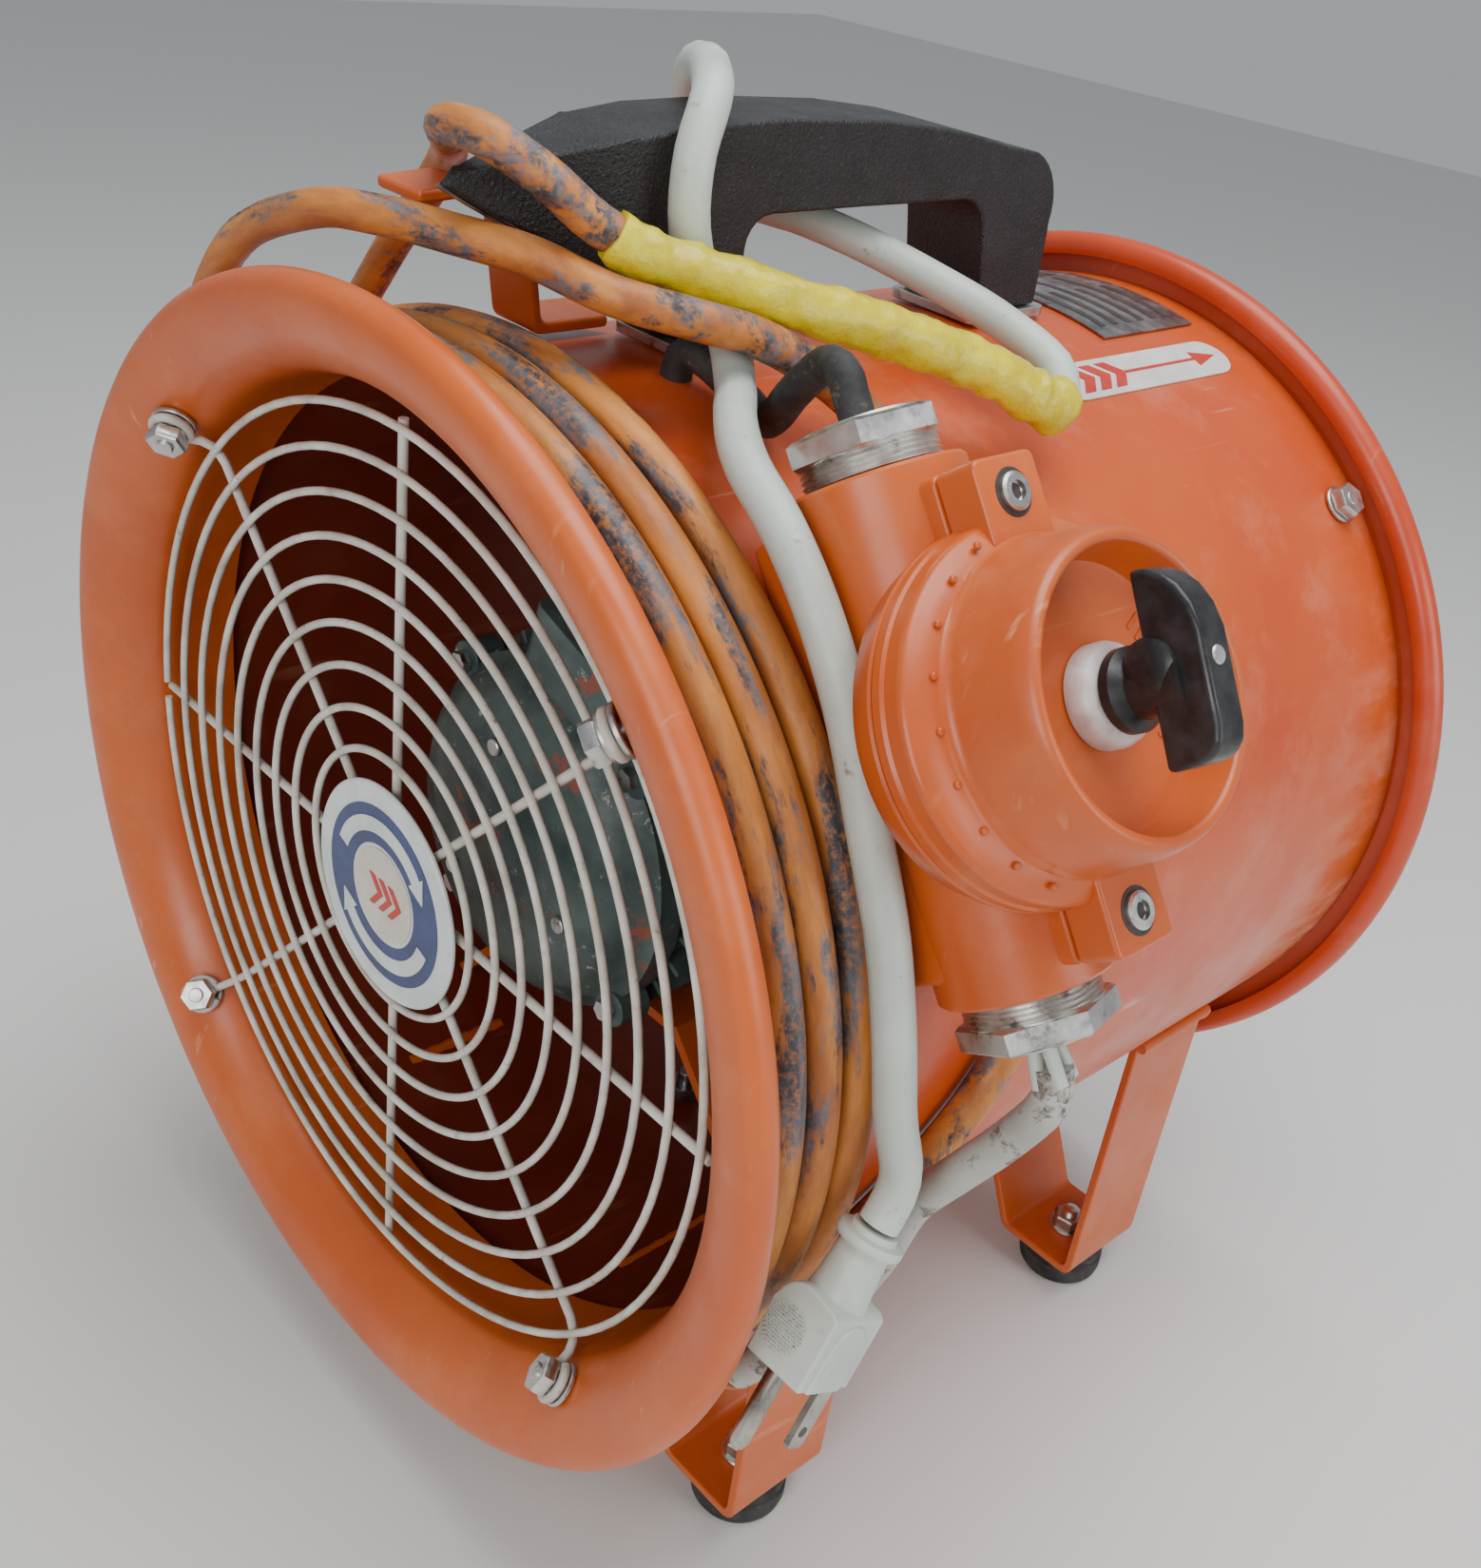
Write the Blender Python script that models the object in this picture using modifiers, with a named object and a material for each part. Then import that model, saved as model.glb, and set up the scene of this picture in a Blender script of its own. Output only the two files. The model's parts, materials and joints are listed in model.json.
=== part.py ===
"""Portable axial ventilator: a steel duct fan with an explosion-proof motor and switch box.

The fan axis lies along Y, with the guarded intake facing -Y. The origin is on the floor,
below the middle of the machine. Most pieces are children of the empty "fan_axis", so their
coordinates are: x from the axis, y behind the front lip, z above the axis.
The switch pieces are children of "switch_frame", where x is the distance from the fan axis
and z runs from the lower cable gland to the upper one.
"""
import math

import bmesh
import bpy
from mathutils import Matrix, Vector

# Driving dimensions, in metres
AXIS_X = -0.01615
AXIS_HEIGHT = 0.1930
LIP_Y = -0.1516
GAP = 0.0003
FACETS = 36

DRUM_RADIUS = 0.1380
DRUM_WALL = 0.0020
DRUM_FRONT = 0.0190
DRUM_REAR = 0.2986

BELL_RADIUS = 0.1600
BELL_ROLL = 0.0050
BELL_WALL = 0.0016
THROAT_RADIUS = 0.1333
THROAT_DEPTH = 0.0240
BELL_REAR = 0.0400

OUTLET_BEAD_RADIUS = 0.1510
OUTLET_ROLL = 0.0047
OUTLET_REAR = 0.3053
OUTLET_FRONT = 0.2700
SLEEVE_OUTER = DRUM_RADIUS - DRUM_WALL - 0.0004
SLEEVE_WALL = 0.0016

RING_FIRST = 0.0380
RING_LAST = 0.1280
WIRE_RADIUS = 0.0012
SPOKE_RADIUS = 0.0014
BOLT_ANGLES = (45, 135, 225, 315)

SWITCH_ANGLE = 36
SWITCH_Y = 0.0740
CORD_RADIUS = 0.00475
COIL_OUTER = 0.1495

COLOURS = {
    "orange_paint": ((0.62, 0.13, 0.03), 0.45, 0.0),
    "red_paint": ((0.45, 0.06, 0.03), 0.45, 0.0),
    "zinc": ((0.55, 0.55, 0.53), 0.35, 1.0),
    "steel": ((0.40, 0.40, 0.40), 0.30, 1.0),
    "guard_wire": ((0.62, 0.57, 0.50), 0.50, 0.0),
    "black_plastic": ((0.015, 0.015, 0.017), 0.60, 0.0),
    "nylon": ((0.60, 0.55, 0.52), 0.40, 0.0),
    "green_grey_paint": ((0.06, 0.09, 0.085), 0.50, 0.0),
    "black_rubber": ((0.02, 0.02, 0.02), 0.80, 0.0),
    "copper": ((0.60, 0.25, 0.10), 0.40, 1.0),
    "badge_print": ((0.60, 0.65, 0.62), 0.40, 0.0),
    "plate_metal": ((0.25, 0.25, 0.25), 0.45, 1.0),
    "orange_cable": ((0.50, 0.20, 0.06), 0.60, 0.0),
    "grey_cable": ((0.35, 0.36, 0.34), 0.60, 0.0),
    "white_cable": ((0.55, 0.60, 0.56), 0.45, 0.0),
    "yellow_tape": ((0.80, 0.76, 0.02), 0.35, 0.0),
}
MATERIALS = {}


# ---------------------------------------------------------------- scene and materials

def clear_scene():
    for item in list(bpy.data.objects):
        bpy.data.objects.remove(item, do_unlink=True)


def new_collection(name):
    collection = bpy.data.collections.new(name)
    bpy.context.scene.collection.children.link(collection)
    return collection


def make_material(name):
    colour, roughness, metallic = COLOURS[name]
    material = bpy.data.materials.new(name)
    material.use_nodes = True
    shader = material.node_tree.nodes["Principled BSDF"]
    shader.inputs["Base Color"].default_value = (*colour, 1.0)
    shader.inputs["Roughness"].default_value = roughness
    shader.inputs["Metallic"].default_value = metallic
    return material


def add_empty(name, location, rotation=(0, 0, 0), parent=None):
    empty = bpy.data.objects.new(name, None)
    parts.objects.link(empty)
    empty.location = location
    empty.rotation_euler = rotation
    empty.parent = parent
    return empty


def add_object(name, data, material=None, parent=None, location=(0, 0, 0), rotation=(0, 0, 0)):
    """A named piece; without a material it is a cutter and goes with the cutters."""
    item = bpy.data.objects.new(name, data)
    if material is None:
        cutters.objects.link(item)
        item.hide_render = True
        item.display_type = "WIRE"
    else:
        parts.objects.link(item)
        data.materials.append(MATERIALS[material])
    item.parent = parent
    item.location = location
    item.rotation_euler = rotation
    return item


def discard(item):
    data = item.data
    bpy.data.objects.remove(item, do_unlink=True)
    if isinstance(data, bpy.types.Curve):
        bpy.data.curves.remove(data)
    else:
        bpy.data.meshes.remove(data)


# ---------------------------------------------------------------- shapes

def mesh_of(name, bm, smooth_degrees=35):
    mesh = bpy.data.meshes.new(name)
    bmesh.ops.recalc_face_normals(bm, faces=bm.faces)
    bm.to_mesh(mesh)
    bm.free()
    mesh.shade_smooth()
    mesh.set_sharp_from_angle(angle=math.radians(smooth_degrees))
    return mesh


def add_cylinder(bm, radius, z_low, z_high, segments, top_radius=None):
    """A cylinder or cone along Z in an open bmesh."""
    place = Matrix.Translation((0, 0, (z_low + z_high) / 2))
    top = radius if top_radius is None else top_radius
    bmesh.ops.create_cone(bm, cap_ends=True, segments=segments, radius1=radius, radius2=top,
                          depth=z_high - z_low, matrix=place)


def cylinder_mesh(name, radius, z_low, z_high, segments=24, top_radius=None):
    bm = bmesh.new()
    add_cylinder(bm, radius, z_low, z_high, segments, top_radius)
    return mesh_of(name, bm)


def box_mesh(name, low, high):
    bm = bmesh.new()
    low, high = Vector(low), Vector(high)
    size = high - low
    place = Matrix.Translation((low + high) / 2) @ Matrix.Diagonal((*size, 1))
    bmesh.ops.create_cube(bm, size=1, matrix=place)
    return mesh_of(name, bm)


def shoelace(points):
    closed = points[1:] + points[:1]
    return sum(a[0] * b[1] - b[0] * a[1] for a, b in zip(points, closed))


def turned(name, profile, material, steps=FACETS, closed=True, **place):
    """Turn an outline of (radius, height) points about local Z."""
    if shoelace(profile) > 0:
        profile = profile[::-1]
    bm = bmesh.new()
    verts = [bm.verts.new((radius, 0, height)) for radius, height in profile]
    for first, second in zip(verts, verts[1:]):
        bm.edges.new((first, second))
    if closed:
        bm.edges.new((verts[-1], verts[0]))
    mesh = bpy.data.meshes.new(name)
    bm.to_mesh(mesh)
    bm.free()
    item = add_object(name, mesh, material, **place)
    screw = item.modifiers.new("turn", "SCREW")
    screw.axis = "Z"
    screw.steps = steps
    screw.render_steps = steps
    screw.use_merge_vertices = True
    screw.merge_threshold = 0.00001
    screw.use_smooth_shade = True
    return item


def tube_mesh(name, routes, radius, closed=False, sides=2):
    """Round bars along lists of points, as one mesh whose capped ends are welded."""
    curve = bpy.data.curves.new(name, "CURVE")
    curve.dimensions = "3D"
    curve.bevel_depth = radius
    curve.bevel_resolution = sides
    curve.use_fill_caps = not closed
    for route in routes:
        spline = curve.splines.new("POLY")
        spline.points.add(len(route) - 1)
        for point, place in zip(spline.points, route):
            point.co = (*place, 1)
        spline.use_cyclic_u = closed
    return welded_mesh(name, curve)


def welded_mesh(name, curve):
    holder = bpy.data.objects.new(name, curve)
    bpy.context.scene.collection.objects.link(holder)
    graph = bpy.context.evaluated_depsgraph_get()
    mesh = bpy.data.meshes.new_from_object(holder.evaluated_get(graph))
    discard(holder)
    bm = bmesh.new()
    bm.from_mesh(mesh)
    bmesh.ops.remove_doubles(bm, verts=bm.verts, dist=0.00001)
    bm.to_mesh(mesh)
    bm.free()
    mesh.name = name
    return mesh


def plate_mesh(name, outlines, thickness):
    """A flat plate centred on local XY; outlines inside the first one are holes."""
    curve = bpy.data.curves.new(name, "CURVE")
    curve.dimensions = "2D"
    curve.fill_mode = "BOTH"
    curve.extrude = thickness / 2
    for outline in outlines:
        spline = curve.splines.new("POLY")
        spline.points.add(len(outline) - 1)
        for point, place in zip(spline.points, outline):
            point.co = (*place, 0, 1)
        spline.use_cyclic_u = True
    return welded_mesh(name, curve)


def arc(centre, radius, start, end, count):
    """Points on an arc, with angles in degrees from the first axis toward the second."""
    angles = [math.radians(start + (end - start) * k / (count - 1)) for k in range(count)]
    return [(centre[0] + radius * math.cos(a), centre[1] + radius * math.sin(a)) for a in angles]


def strip_outline(path, thickness):
    """The outline of a bent strip whose outer side follows the path, with its metal at the left."""
    points = [Vector(point) for point in path]
    normals = []
    for first, second in zip(points, points[1:]):
        along = (second - first).normalized()
        normals.append(Vector((-along.y, along.x)))
    inner = [points[0] + normals[0] * thickness]
    for corner, before, after in zip(points[1:], normals, normals[1:]):
        mitre = (before + after).normalized()
        inner.append(corner + mitre * (thickness / mitre.dot(after)))
    inner.append(points[-1] + normals[-1] * thickness)
    return [tuple(p) for p in points] + [tuple(p) for p in reversed(inner)]


def smooth_route(points, spacing):
    """Evenly spaced points on a Catmull-Rom curve through the given points."""
    knots = [Vector(p) for p in points]
    knots = [knots[0] * 2 - knots[1], *knots, knots[-1] * 2 - knots[-2]]
    fine = []
    for a, b, c, d in zip(knots, knots[1:], knots[2:], knots[3:]):
        for k in range(20):
            t = k / 20
            fine.append(0.5 * (2 * b + (c - a) * t + (2 * a - 5 * b + 4 * c - d) * t ** 2
                               + (3 * b - a - 3 * c + d) * t ** 3))
    fine.append(knots[-2])
    total = sum((b - a).length for a, b in zip(fine, fine[1:]))
    count = max(2, round(total / spacing))
    route = [fine[0]]
    run = 0
    for a, b in zip(fine, fine[1:]):
        run += (b - a).length
        if run >= total * len(route) / count and len(route) < count:
            route.append(b)
    route.append(fine[-1])
    return route


# ---------------------------------------------------------------- joining and cutting

def combine(item, other, operation="UNION", drop=True):
    """Join a helper to a piece, or cut the piece with it."""
    boolean = item.modifiers.new(other.name, "BOOLEAN")
    boolean.operation = operation
    boolean.solver = "EXACT"
    boolean.object = other
    if drop:
        bake(item)
        discard(other)


def bake(item):
    """Turn a piece's modifiers into plain mesh."""
    graph = bpy.context.evaluated_depsgraph_get()
    mesh = bpy.data.meshes.new_from_object(item.evaluated_get(graph))
    item.modifiers.clear()
    item.data = mesh


def helper(mesh, item, location=(0, 0, 0), rotation=(0, 0, 0)):
    """A helper shape in the same parent frame as the piece it joins or cuts."""
    other = add_object(mesh.name + "_helper", mesh, None, item.parent, location, rotation)
    bpy.context.view_layer.update()
    return other


# ---------------------------------------------------------------- frames

def ray(angle, radius, y):
    """A point at an angle from +X toward +Z, at a radius from the fan axis."""
    turn = math.radians(angle)
    return (radius * math.cos(turn), y, radius * math.sin(turn))


LENGTHWISE = (-math.pi / 2, 0, 0)  # local Z points rearward along the fan axis
ACROSS = (math.pi / 2, 0, 0)  # local XY is the fan's XZ plane and local Z points forward


def radial_frame(name, angle, y, radius, tilt=0):
    """An empty whose Z points away from the axis, tilted toward the rear in degrees."""
    matrix = Matrix.Rotation(math.radians(-angle), 3, "Y") @ Matrix.Rotation(math.pi / 2, 3, "Y")
    matrix = matrix @ Matrix.Rotation(math.radians(-tilt), 3, "X")
    return add_empty(name, ray(angle, radius, y), matrix.to_euler(), fan_axis)


# ---------------------------------------------------------------- duct

def bell_curve(wall):
    """The flare from throat to lip, a quarter ellipse, offset by the wall thickness."""
    flare = BELL_RADIUS - BELL_ROLL - THROAT_RADIUS - wall
    depth = THROAT_DEPTH - wall
    turns = [math.radians(90 * k / 5) for k in range(6)]
    return [(BELL_RADIUS - BELL_ROLL - flare * math.cos(t), THROAT_DEPTH - depth * math.sin(t))
            for t in turns]


def make_front_bell():
    roll = (BELL_RADIUS - BELL_ROLL, BELL_ROLL)
    outside = arc(roll, BELL_ROLL, -50, 90, 4)
    inside = arc(roll, BELL_ROLL - BELL_WALL, 90, -50, 4)
    profile = [(THROAT_RADIUS, BELL_REAR)] + bell_curve(0) + outside + inside
    profile += bell_curve(BELL_WALL)[::-1] + [(THROAT_RADIUS + BELL_WALL, BELL_REAR)]
    bell = turned("front_bell", profile, "orange_paint", parent=fan_axis, rotation=LENGTHWISE)
    for angle in BOLT_ANGLES:
        frame = guard_seat(angle)
        cutter = add_object(f"bell_hole_{angle}", cylinder_mesh("hole", 0.0029, -0.01, 0.01, 12),
                            parent=frame)
        combine(bell, cutter, "DIFFERENCE", drop=False)


def make_drum_shell():
    inner = DRUM_RADIUS - DRUM_WALL
    profile = [(DRUM_RADIUS, DRUM_FRONT), (DRUM_RADIUS, DRUM_REAR),
               (inner, DRUM_REAR), (inner, DRUM_FRONT)]
    drum = turned("drum_shell", profile, "orange_paint", parent=fan_axis, rotation=LENGTHWISE)
    bake(drum)
    for angle in BOLT_ANGLES:
        combine(drum, rear_hole(drum, angle), "DIFFERENCE")
    for y in HANDLE_BOLT_Y:
        hole = helper(cylinder_mesh("handle_hole", 0.0034, 0.12, 0.15, 12), drum, (0, y, 0))
        combine(drum, hole, "DIFFERENCE")
    x, y = LEAD_ENTRY
    hole = helper(cylinder_mesh("lead_hole", 0.0065, 0.12, 0.15, 12), drum, (x, y, 0))
    combine(drum, hole, "DIFFERENCE")
    drum.data.set_sharp_from_angle(angle=math.radians(35))


def rear_hole(item, angle):
    frame = radial_frame(f"hole_frame_{item.name}_{angle}", angle, REAR_BOLT_Y, DRUM_RADIUS)
    hole = cylinder_mesh("rear_hole", 0.0029, -0.012, 0.006, 12)
    other = add_object("rear_hole_helper", hole, None, frame)
    bpy.context.view_layer.update()
    return other


def make_outlet_ring():
    roll = (OUTLET_BEAD_RADIUS - OUTLET_ROLL, OUTLET_REAR - OUTLET_ROLL)
    sleeve_inner = SLEEVE_OUTER - SLEEVE_WALL
    outside = arc(roll, OUTLET_ROLL, 90, -90, 5)
    inside = arc(roll, OUTLET_ROLL - SLEEVE_WALL, -90, 90, 4)
    profile = [(sleeve_inner, OUTLET_FRONT), (sleeve_inner, 0.2995), (0.1362, 0.3037)]
    profile += outside + inside
    profile += [(0.1380, 0.3022), (SLEEVE_OUTER, 0.2990), (SLEEVE_OUTER, OUTLET_FRONT)]
    ring = turned("outlet_ring", profile, "red_paint", parent=fan_axis, rotation=LENGTHWISE)
    bake(ring)
    for angle in BOLT_ANGLES:
        combine(ring, rear_hole(ring, angle), "DIFFERENCE")


# ---------------------------------------------------------------- guards and their bolts

GUARD_Y = 0.0150
REAR_GUARD_Y = 0.2790
REAR_BOLT_Y = 0.2870
SEAT_RADIUS = 0.1388
SEAT_Y = 0.0080
SEAT_TILT = -141  # the seat faces forward and inward, square to the flare


def guard_seat(angle):
    """A frame on the flare whose Z points out of the metal toward the intake."""
    return radial_frame(f"seat_{angle}", angle, SEAT_Y, SEAT_RADIUS, SEAT_TILT)


def ring_route(radius, y, points=16):
    start = 5
    return [(x, y, z) for x, z in arc((0, 0), radius, start, start + 360 - 360 / points, points)]


def bent_spoke(angle, route):
    """A spoke given by (radius, y) points along one direction from the axis."""
    return [ray(angle, radius, y) for radius, y in route]


def loop_around(angle, radius, y, reach, tilt):
    """A wire eye around a bolt; reach is its radius and tilt leans it toward the axis."""
    lean = math.radians(tilt)
    turn = math.radians(angle)
    outward = Vector((math.cos(turn), 0, math.sin(turn)))
    along = outward * math.cos(lean) + Vector((0, 1, 0)) * math.sin(lean)
    aside = Vector((-math.sin(turn), 0, math.cos(turn)))
    centre = Vector(ray(angle, radius, y))
    return [centre + along * (reach * a) + aside * (reach * b) for a, b in arc((0, 0), 1, 11, 326, 8)]


def make_guard(name, ring_radii, y, bar_y, straight_angles, route, eye):
    rings = [ring_route(radius, y) for radius in ring_radii]
    guard = add_object(name, tube_mesh(name, rings, WIRE_RADIUS, True, 0), "guard_wire", fan_axis)
    hub = cylinder_mesh("guard_hub", 0.0120, -0.0008, 0.0009, 18)
    straight = [bent_spoke(angle, [(0.009, bar_y), (RING_LAST, bar_y)]) for angle in straight_angles]
    bent = [bent_spoke(angle, [(0.009, bar_y), *route]) for angle in BOLT_ANGLES]
    combine(guard, helper(tube_mesh("spokes", straight + bent, SPOKE_RADIUS, False, 0), guard))
    combine(guard, helper(hub, guard, (0, bar_y, 0), LENGTHWISE))
    eyes = [loop_around(angle, *eye) for angle in BOLT_ANGLES]
    combine(guard, helper(tube_mesh("eyes", eyes, SPOKE_RADIUS, True, 0), guard))


def make_guards():
    count = 9
    pitch = (RING_LAST - RING_FIRST) / (count - 1)
    radii = [RING_FIRST + pitch * k for k in range(count)]
    lift = 0.0034
    tilt = math.radians(SEAT_TILT + 90)
    eye_r = SEAT_RADIUS + lift * math.sin(tilt)
    eye_y = SEAT_Y - lift * math.cos(tilt)
    reach = 0.0052
    end = (eye_r - reach * math.cos(tilt), eye_y - reach * math.sin(tilt))
    route = [(0.1255, GUARD_Y + 0.0023), (0.1300, 0.0150), end]
    make_guard("front_guard", radii, GUARD_Y, GUARD_Y + 0.0023, (0, 90, 180, 270), route,
               (eye_r, eye_y, reach, SEAT_TILT + 90))
    bar_y = REAR_GUARD_Y - 0.0023
    route = [(0.1265, bar_y), (0.1305, bar_y + 0.0010), (0.1314, REAR_BOLT_Y - reach)]
    make_guard("rear_guard", radii[::2], REAR_GUARD_Y, bar_y, (), route, (0.1314, REAR_BOLT_Y, reach, 90))


def make_bolt(name, frame, head_low, shank_low, nut_high, washer_low=None):
    """A hexagon bolt along the frame's Z, with a nut below and a washer under its head."""
    bolt = add_object(name, cylinder_mesh(name, 0.0024, shank_low, head_low + 0.001, 8), "zinc", frame)
    head = cylinder_mesh("head", 0.0057, head_low, head_low + 0.0038, 6)
    combine(bolt, helper(head, bolt))
    combine(bolt, helper(cylinder_mesh("nut", 0.0046, nut_high - 0.0036, nut_high, 6), bolt))
    if washer_low is not None:
        combine(bolt, helper(cylinder_mesh("washer", 0.0060, washer_low, washer_low + 0.0012, 10), bolt))


def make_guard_bolts():
    for letter, angle in zip("abcd", BOLT_ANGLES):
        frame = guard_seat(angle)
        frame.name = f"front_bolt_frame_{letter}"
        make_bolt(f"guard_bolt_{letter}", frame, 0.0052, -0.0075, -0.0024, 0.0006)
        frame = radial_frame(f"rear_bolt_frame_{letter}", angle, REAR_BOLT_Y, DRUM_RADIUS)
        make_bolt(f"rear_guard_bolt_{letter}", frame, 0.0018, -0.0135, -0.0085, 0.0004)


def make_guard_badge():
    disc = cylinder_mesh("guard_badge", 0.0325, 0.0125, 0.0145, 32)
    add_object("guard_badge", disc, "badge_print", fan_axis, (0.001, 0, -0.002), LENGTHWISE)


# ---------------------------------------------------------------- legs and feet

LEG_OUTER_X = 0.1180
LEG_INNER_X = 0.0865
LEG_TOP = (0.0560, -0.1160)
LEG_WIDTH = 0.0375
LEG_WALL = 0.0030
LEG_FRONTS = (0.0614, 0.2246)
PLATE_Z = -0.1789
FOOT_X = 0.1022


def make_leg(name, side, front):
    path = [LEG_TOP, (LEG_INNER_X, PLATE_Z), (LEG_OUTER_X, PLATE_Z), (LEG_OUTER_X, -0.0600)]
    outline = [(side * x, z) for x, z in strip_outline(path, LEG_WALL)]
    mesh = plate_mesh(name, [outline], LEG_WIDTH)
    leg = add_object(name, mesh, "orange_paint", fan_axis, (0, front + LEG_WIDTH / 2, 0), ACROSS)
    bpy.context.view_layer.update()
    drum = cylinder_mesh("drum_space", DRUM_RADIUS + GAP, front - 0.01, front + LEG_WIDTH + 0.01, FACETS)
    combine(leg, helper(drum, leg, (0, 0, 0), LENGTHWISE), "DIFFERENCE")
    hole = cylinder_mesh("stud_hole", 0.0034, -0.19, -0.17, 12)
    combine(leg, helper(hole, leg, (side * FOOT_X, front + LEG_WIDTH / 2, 0)), "DIFFERENCE")


def make_foot(label, x, y):
    low = -AXIS_HEIGHT
    top = PLATE_Z - GAP
    profile = [(0, low + 0.004), (0.0034, low + 0.004), (0.0034, top), (0.0145, top),
               (0.0150, low + 0.003), (0.0142, low + 0.0008), (0.0130, low), (0, low)]
    turned(f"foot_{label}", profile, "black_rubber", 12, False, parent=fan_axis, location=(x, y, 0))
    stud = cylinder_mesh("stud", 0.0030, low + 0.0045, PLATE_Z + 0.0115, 12)
    piece = add_object(f"foot_stud_{label}", stud, "zinc", fan_axis, (x, y, 0))
    nut_low = PLATE_Z + LEG_WALL + GAP
    combine(piece, helper(cylinder_mesh("nut", 0.0058, nut_low, nut_low + 0.005, 6), piece, (x, y, 0)))


def make_legs():
    for row, front in zip(("front", "rear"), LEG_FRONTS):
        for hand, side in (("right", 1), ("left", -1)):
            make_leg(f"leg_{row}_{hand}", side, front)
            make_foot(f"{row}_{hand}", side * FOOT_X, front + LEG_WIDTH / 2)


# ---------------------------------------------------------------- handle

HANDLE_WIDTH = 0.0300
HANDLE_BASE_Z = 0.1417
HANDLE_BOLT_Y = (0.0995, 0.2130)
PAD_TOP = HANDLE_BASE_Z - GAP


def side_plate(name, outline, width, material, x):
    """A plate whose outline is given as (y, z) points, centred at x."""
    stand = Matrix.Rotation(math.pi / 2, 3, "Z") @ Matrix.Rotation(math.pi / 2, 3, "X")
    item = add_object(name, plate_mesh(name, [outline], width), material, fan_axis, (x, 0, 0),
                      stand.to_euler())
    bpy.context.view_layer.update()
    return item


def make_handle():
    """A grip on two legs whose front end runs out to a bow-shaped nose."""
    outer = [(0.2260, HANDLE_BASE_Z), (0.2260, 0.1620)] + arc((0.2100, 0.1680), 0.0160, 5, 62, 4)
    outer += [(0.2010, 0.1868), (0.1750, 0.1925), (0.1500, 0.1950), (0.1150, 0.1960), (0.0850, 0.1950),
              (0.0600, 0.1912), (0.0420, 0.1872), (0.0280, 0.1838), (0.0245, 0.1812)]
    outer += [(0.0450, 0.1708), (0.0710, 0.1580), (0.0920, HANDLE_BASE_Z)]
    inner = [(0.1060, HANDLE_BASE_Z), (0.1050, 0.1660), (0.1120, 0.1735), (0.1850, 0.1735),
             (0.1960, 0.1640), (0.2000, HANDLE_BASE_Z)]
    handle = side_plate("handle", outer + inner, HANDLE_WIDTH, "black_plastic", 0)
    half = HANDLE_WIDTH / 2 + 0.001
    plan = [(half, 0.2500), (-half, 0.2500), (-half, 0.0680), (-0.0020, 0.0200), (0.0020, 0.0200),
            (half, 0.0680)]
    combine(handle, helper(plate_mesh("bow", [plan], 0.2000), handle, (0, 0, 0.1600)), "INTERSECT")
    for y in HANDLE_BOLT_Y:
        hole = cylinder_mesh("bolt_hole", 0.0034, 0.13, 0.157, 12)
        combine(handle, helper(hole, handle, (0, y, 0)), "DIFFERENCE")


def make_handle_bracket():
    """A folded strap beside the nose, bridging the coiled cord."""
    path = [(0.0315, 0.1722), (0.0460, 0.1732), (0.0610, 0.1690), (0.0660, 0.1385), (0.0900, 0.1385)]
    side_plate("handle_bracket", strip_outline(path, 0.0026), 0.0185, "orange_paint", -0.02675)


def make_handle_fixings():
    pad_box = box_mesh("handle_pad", (-0.0165, 0.1960, 0.1384), (0.0165, 0.2300, PAD_TOP))
    pad = add_object("handle_pad", pad_box, "zinc", fan_axis)
    hole = cylinder_mesh("bolt_hole", 0.0034, 0.13, 0.15, 12)
    combine(pad, helper(hole, pad, (0, HANDLE_BOLT_Y[1], 0)), "DIFFERENCE")
    for label, y in zip(("front", "rear"), HANDLE_BOLT_Y):
        bolt = add_object(f"handle_bolt_{label}", cylinder_mesh("bolt", 0.0030, 0.1330, 0.1555, 12),
                          "zinc", fan_axis, (0, y, 0))
        head = cylinder_mesh("bolt_head", 0.0060, 0.1310, 0.1353, 6)
        combine(bolt, helper(head, bolt, (0, y, 0)))


def make_nameplate():
    low, high = DRUM_RADIUS + GAP, DRUM_RADIUS + 0.0010
    outline = arc((0, 0), high, 76.6, 104.2, 12) + arc((0, 0), low, 104.2, 76.6, 12)
    mesh = plate_mesh("nameplate", [outline], 0.0460)
    add_object("nameplate", mesh, "plate_metal", fan_axis, (0, 0.2640, 0), ACROSS)


# ---------------------------------------------------------------- motor and impeller

FIN_RADIUS = 0.0570
SHAFT_RADIUS = 0.0060
TERMINAL_ANGLE = 72
TERMINAL_GLAND_Y = -0.0080


def fin_outline(count):
    """The cross-section of a finned body: fins and the gaps between them."""
    points = []
    for k in range(count):
        middle = 360 * k / count
        points += [(FIN_RADIUS, middle - 2.2), (FIN_RADIUS, middle + 2.2), (0.0500, middle + 3.2),
                   (0.0500, middle + 360 / count - 3.2)]
    return [(r * math.cos(math.radians(a)), r * math.sin(math.radians(a))) for r, a in points]


def make_motor_shell():
    outlines = [fin_outline(20), arc((0, 0), 0.0465, 0, 350, 36)]
    mesh = plate_mesh("motor_shell", outlines, 0.1050)
    add_object("motor_shell", mesh, "green_grey_paint", fan_axis, (0, 0.1275, 0), ACROSS)


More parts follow.
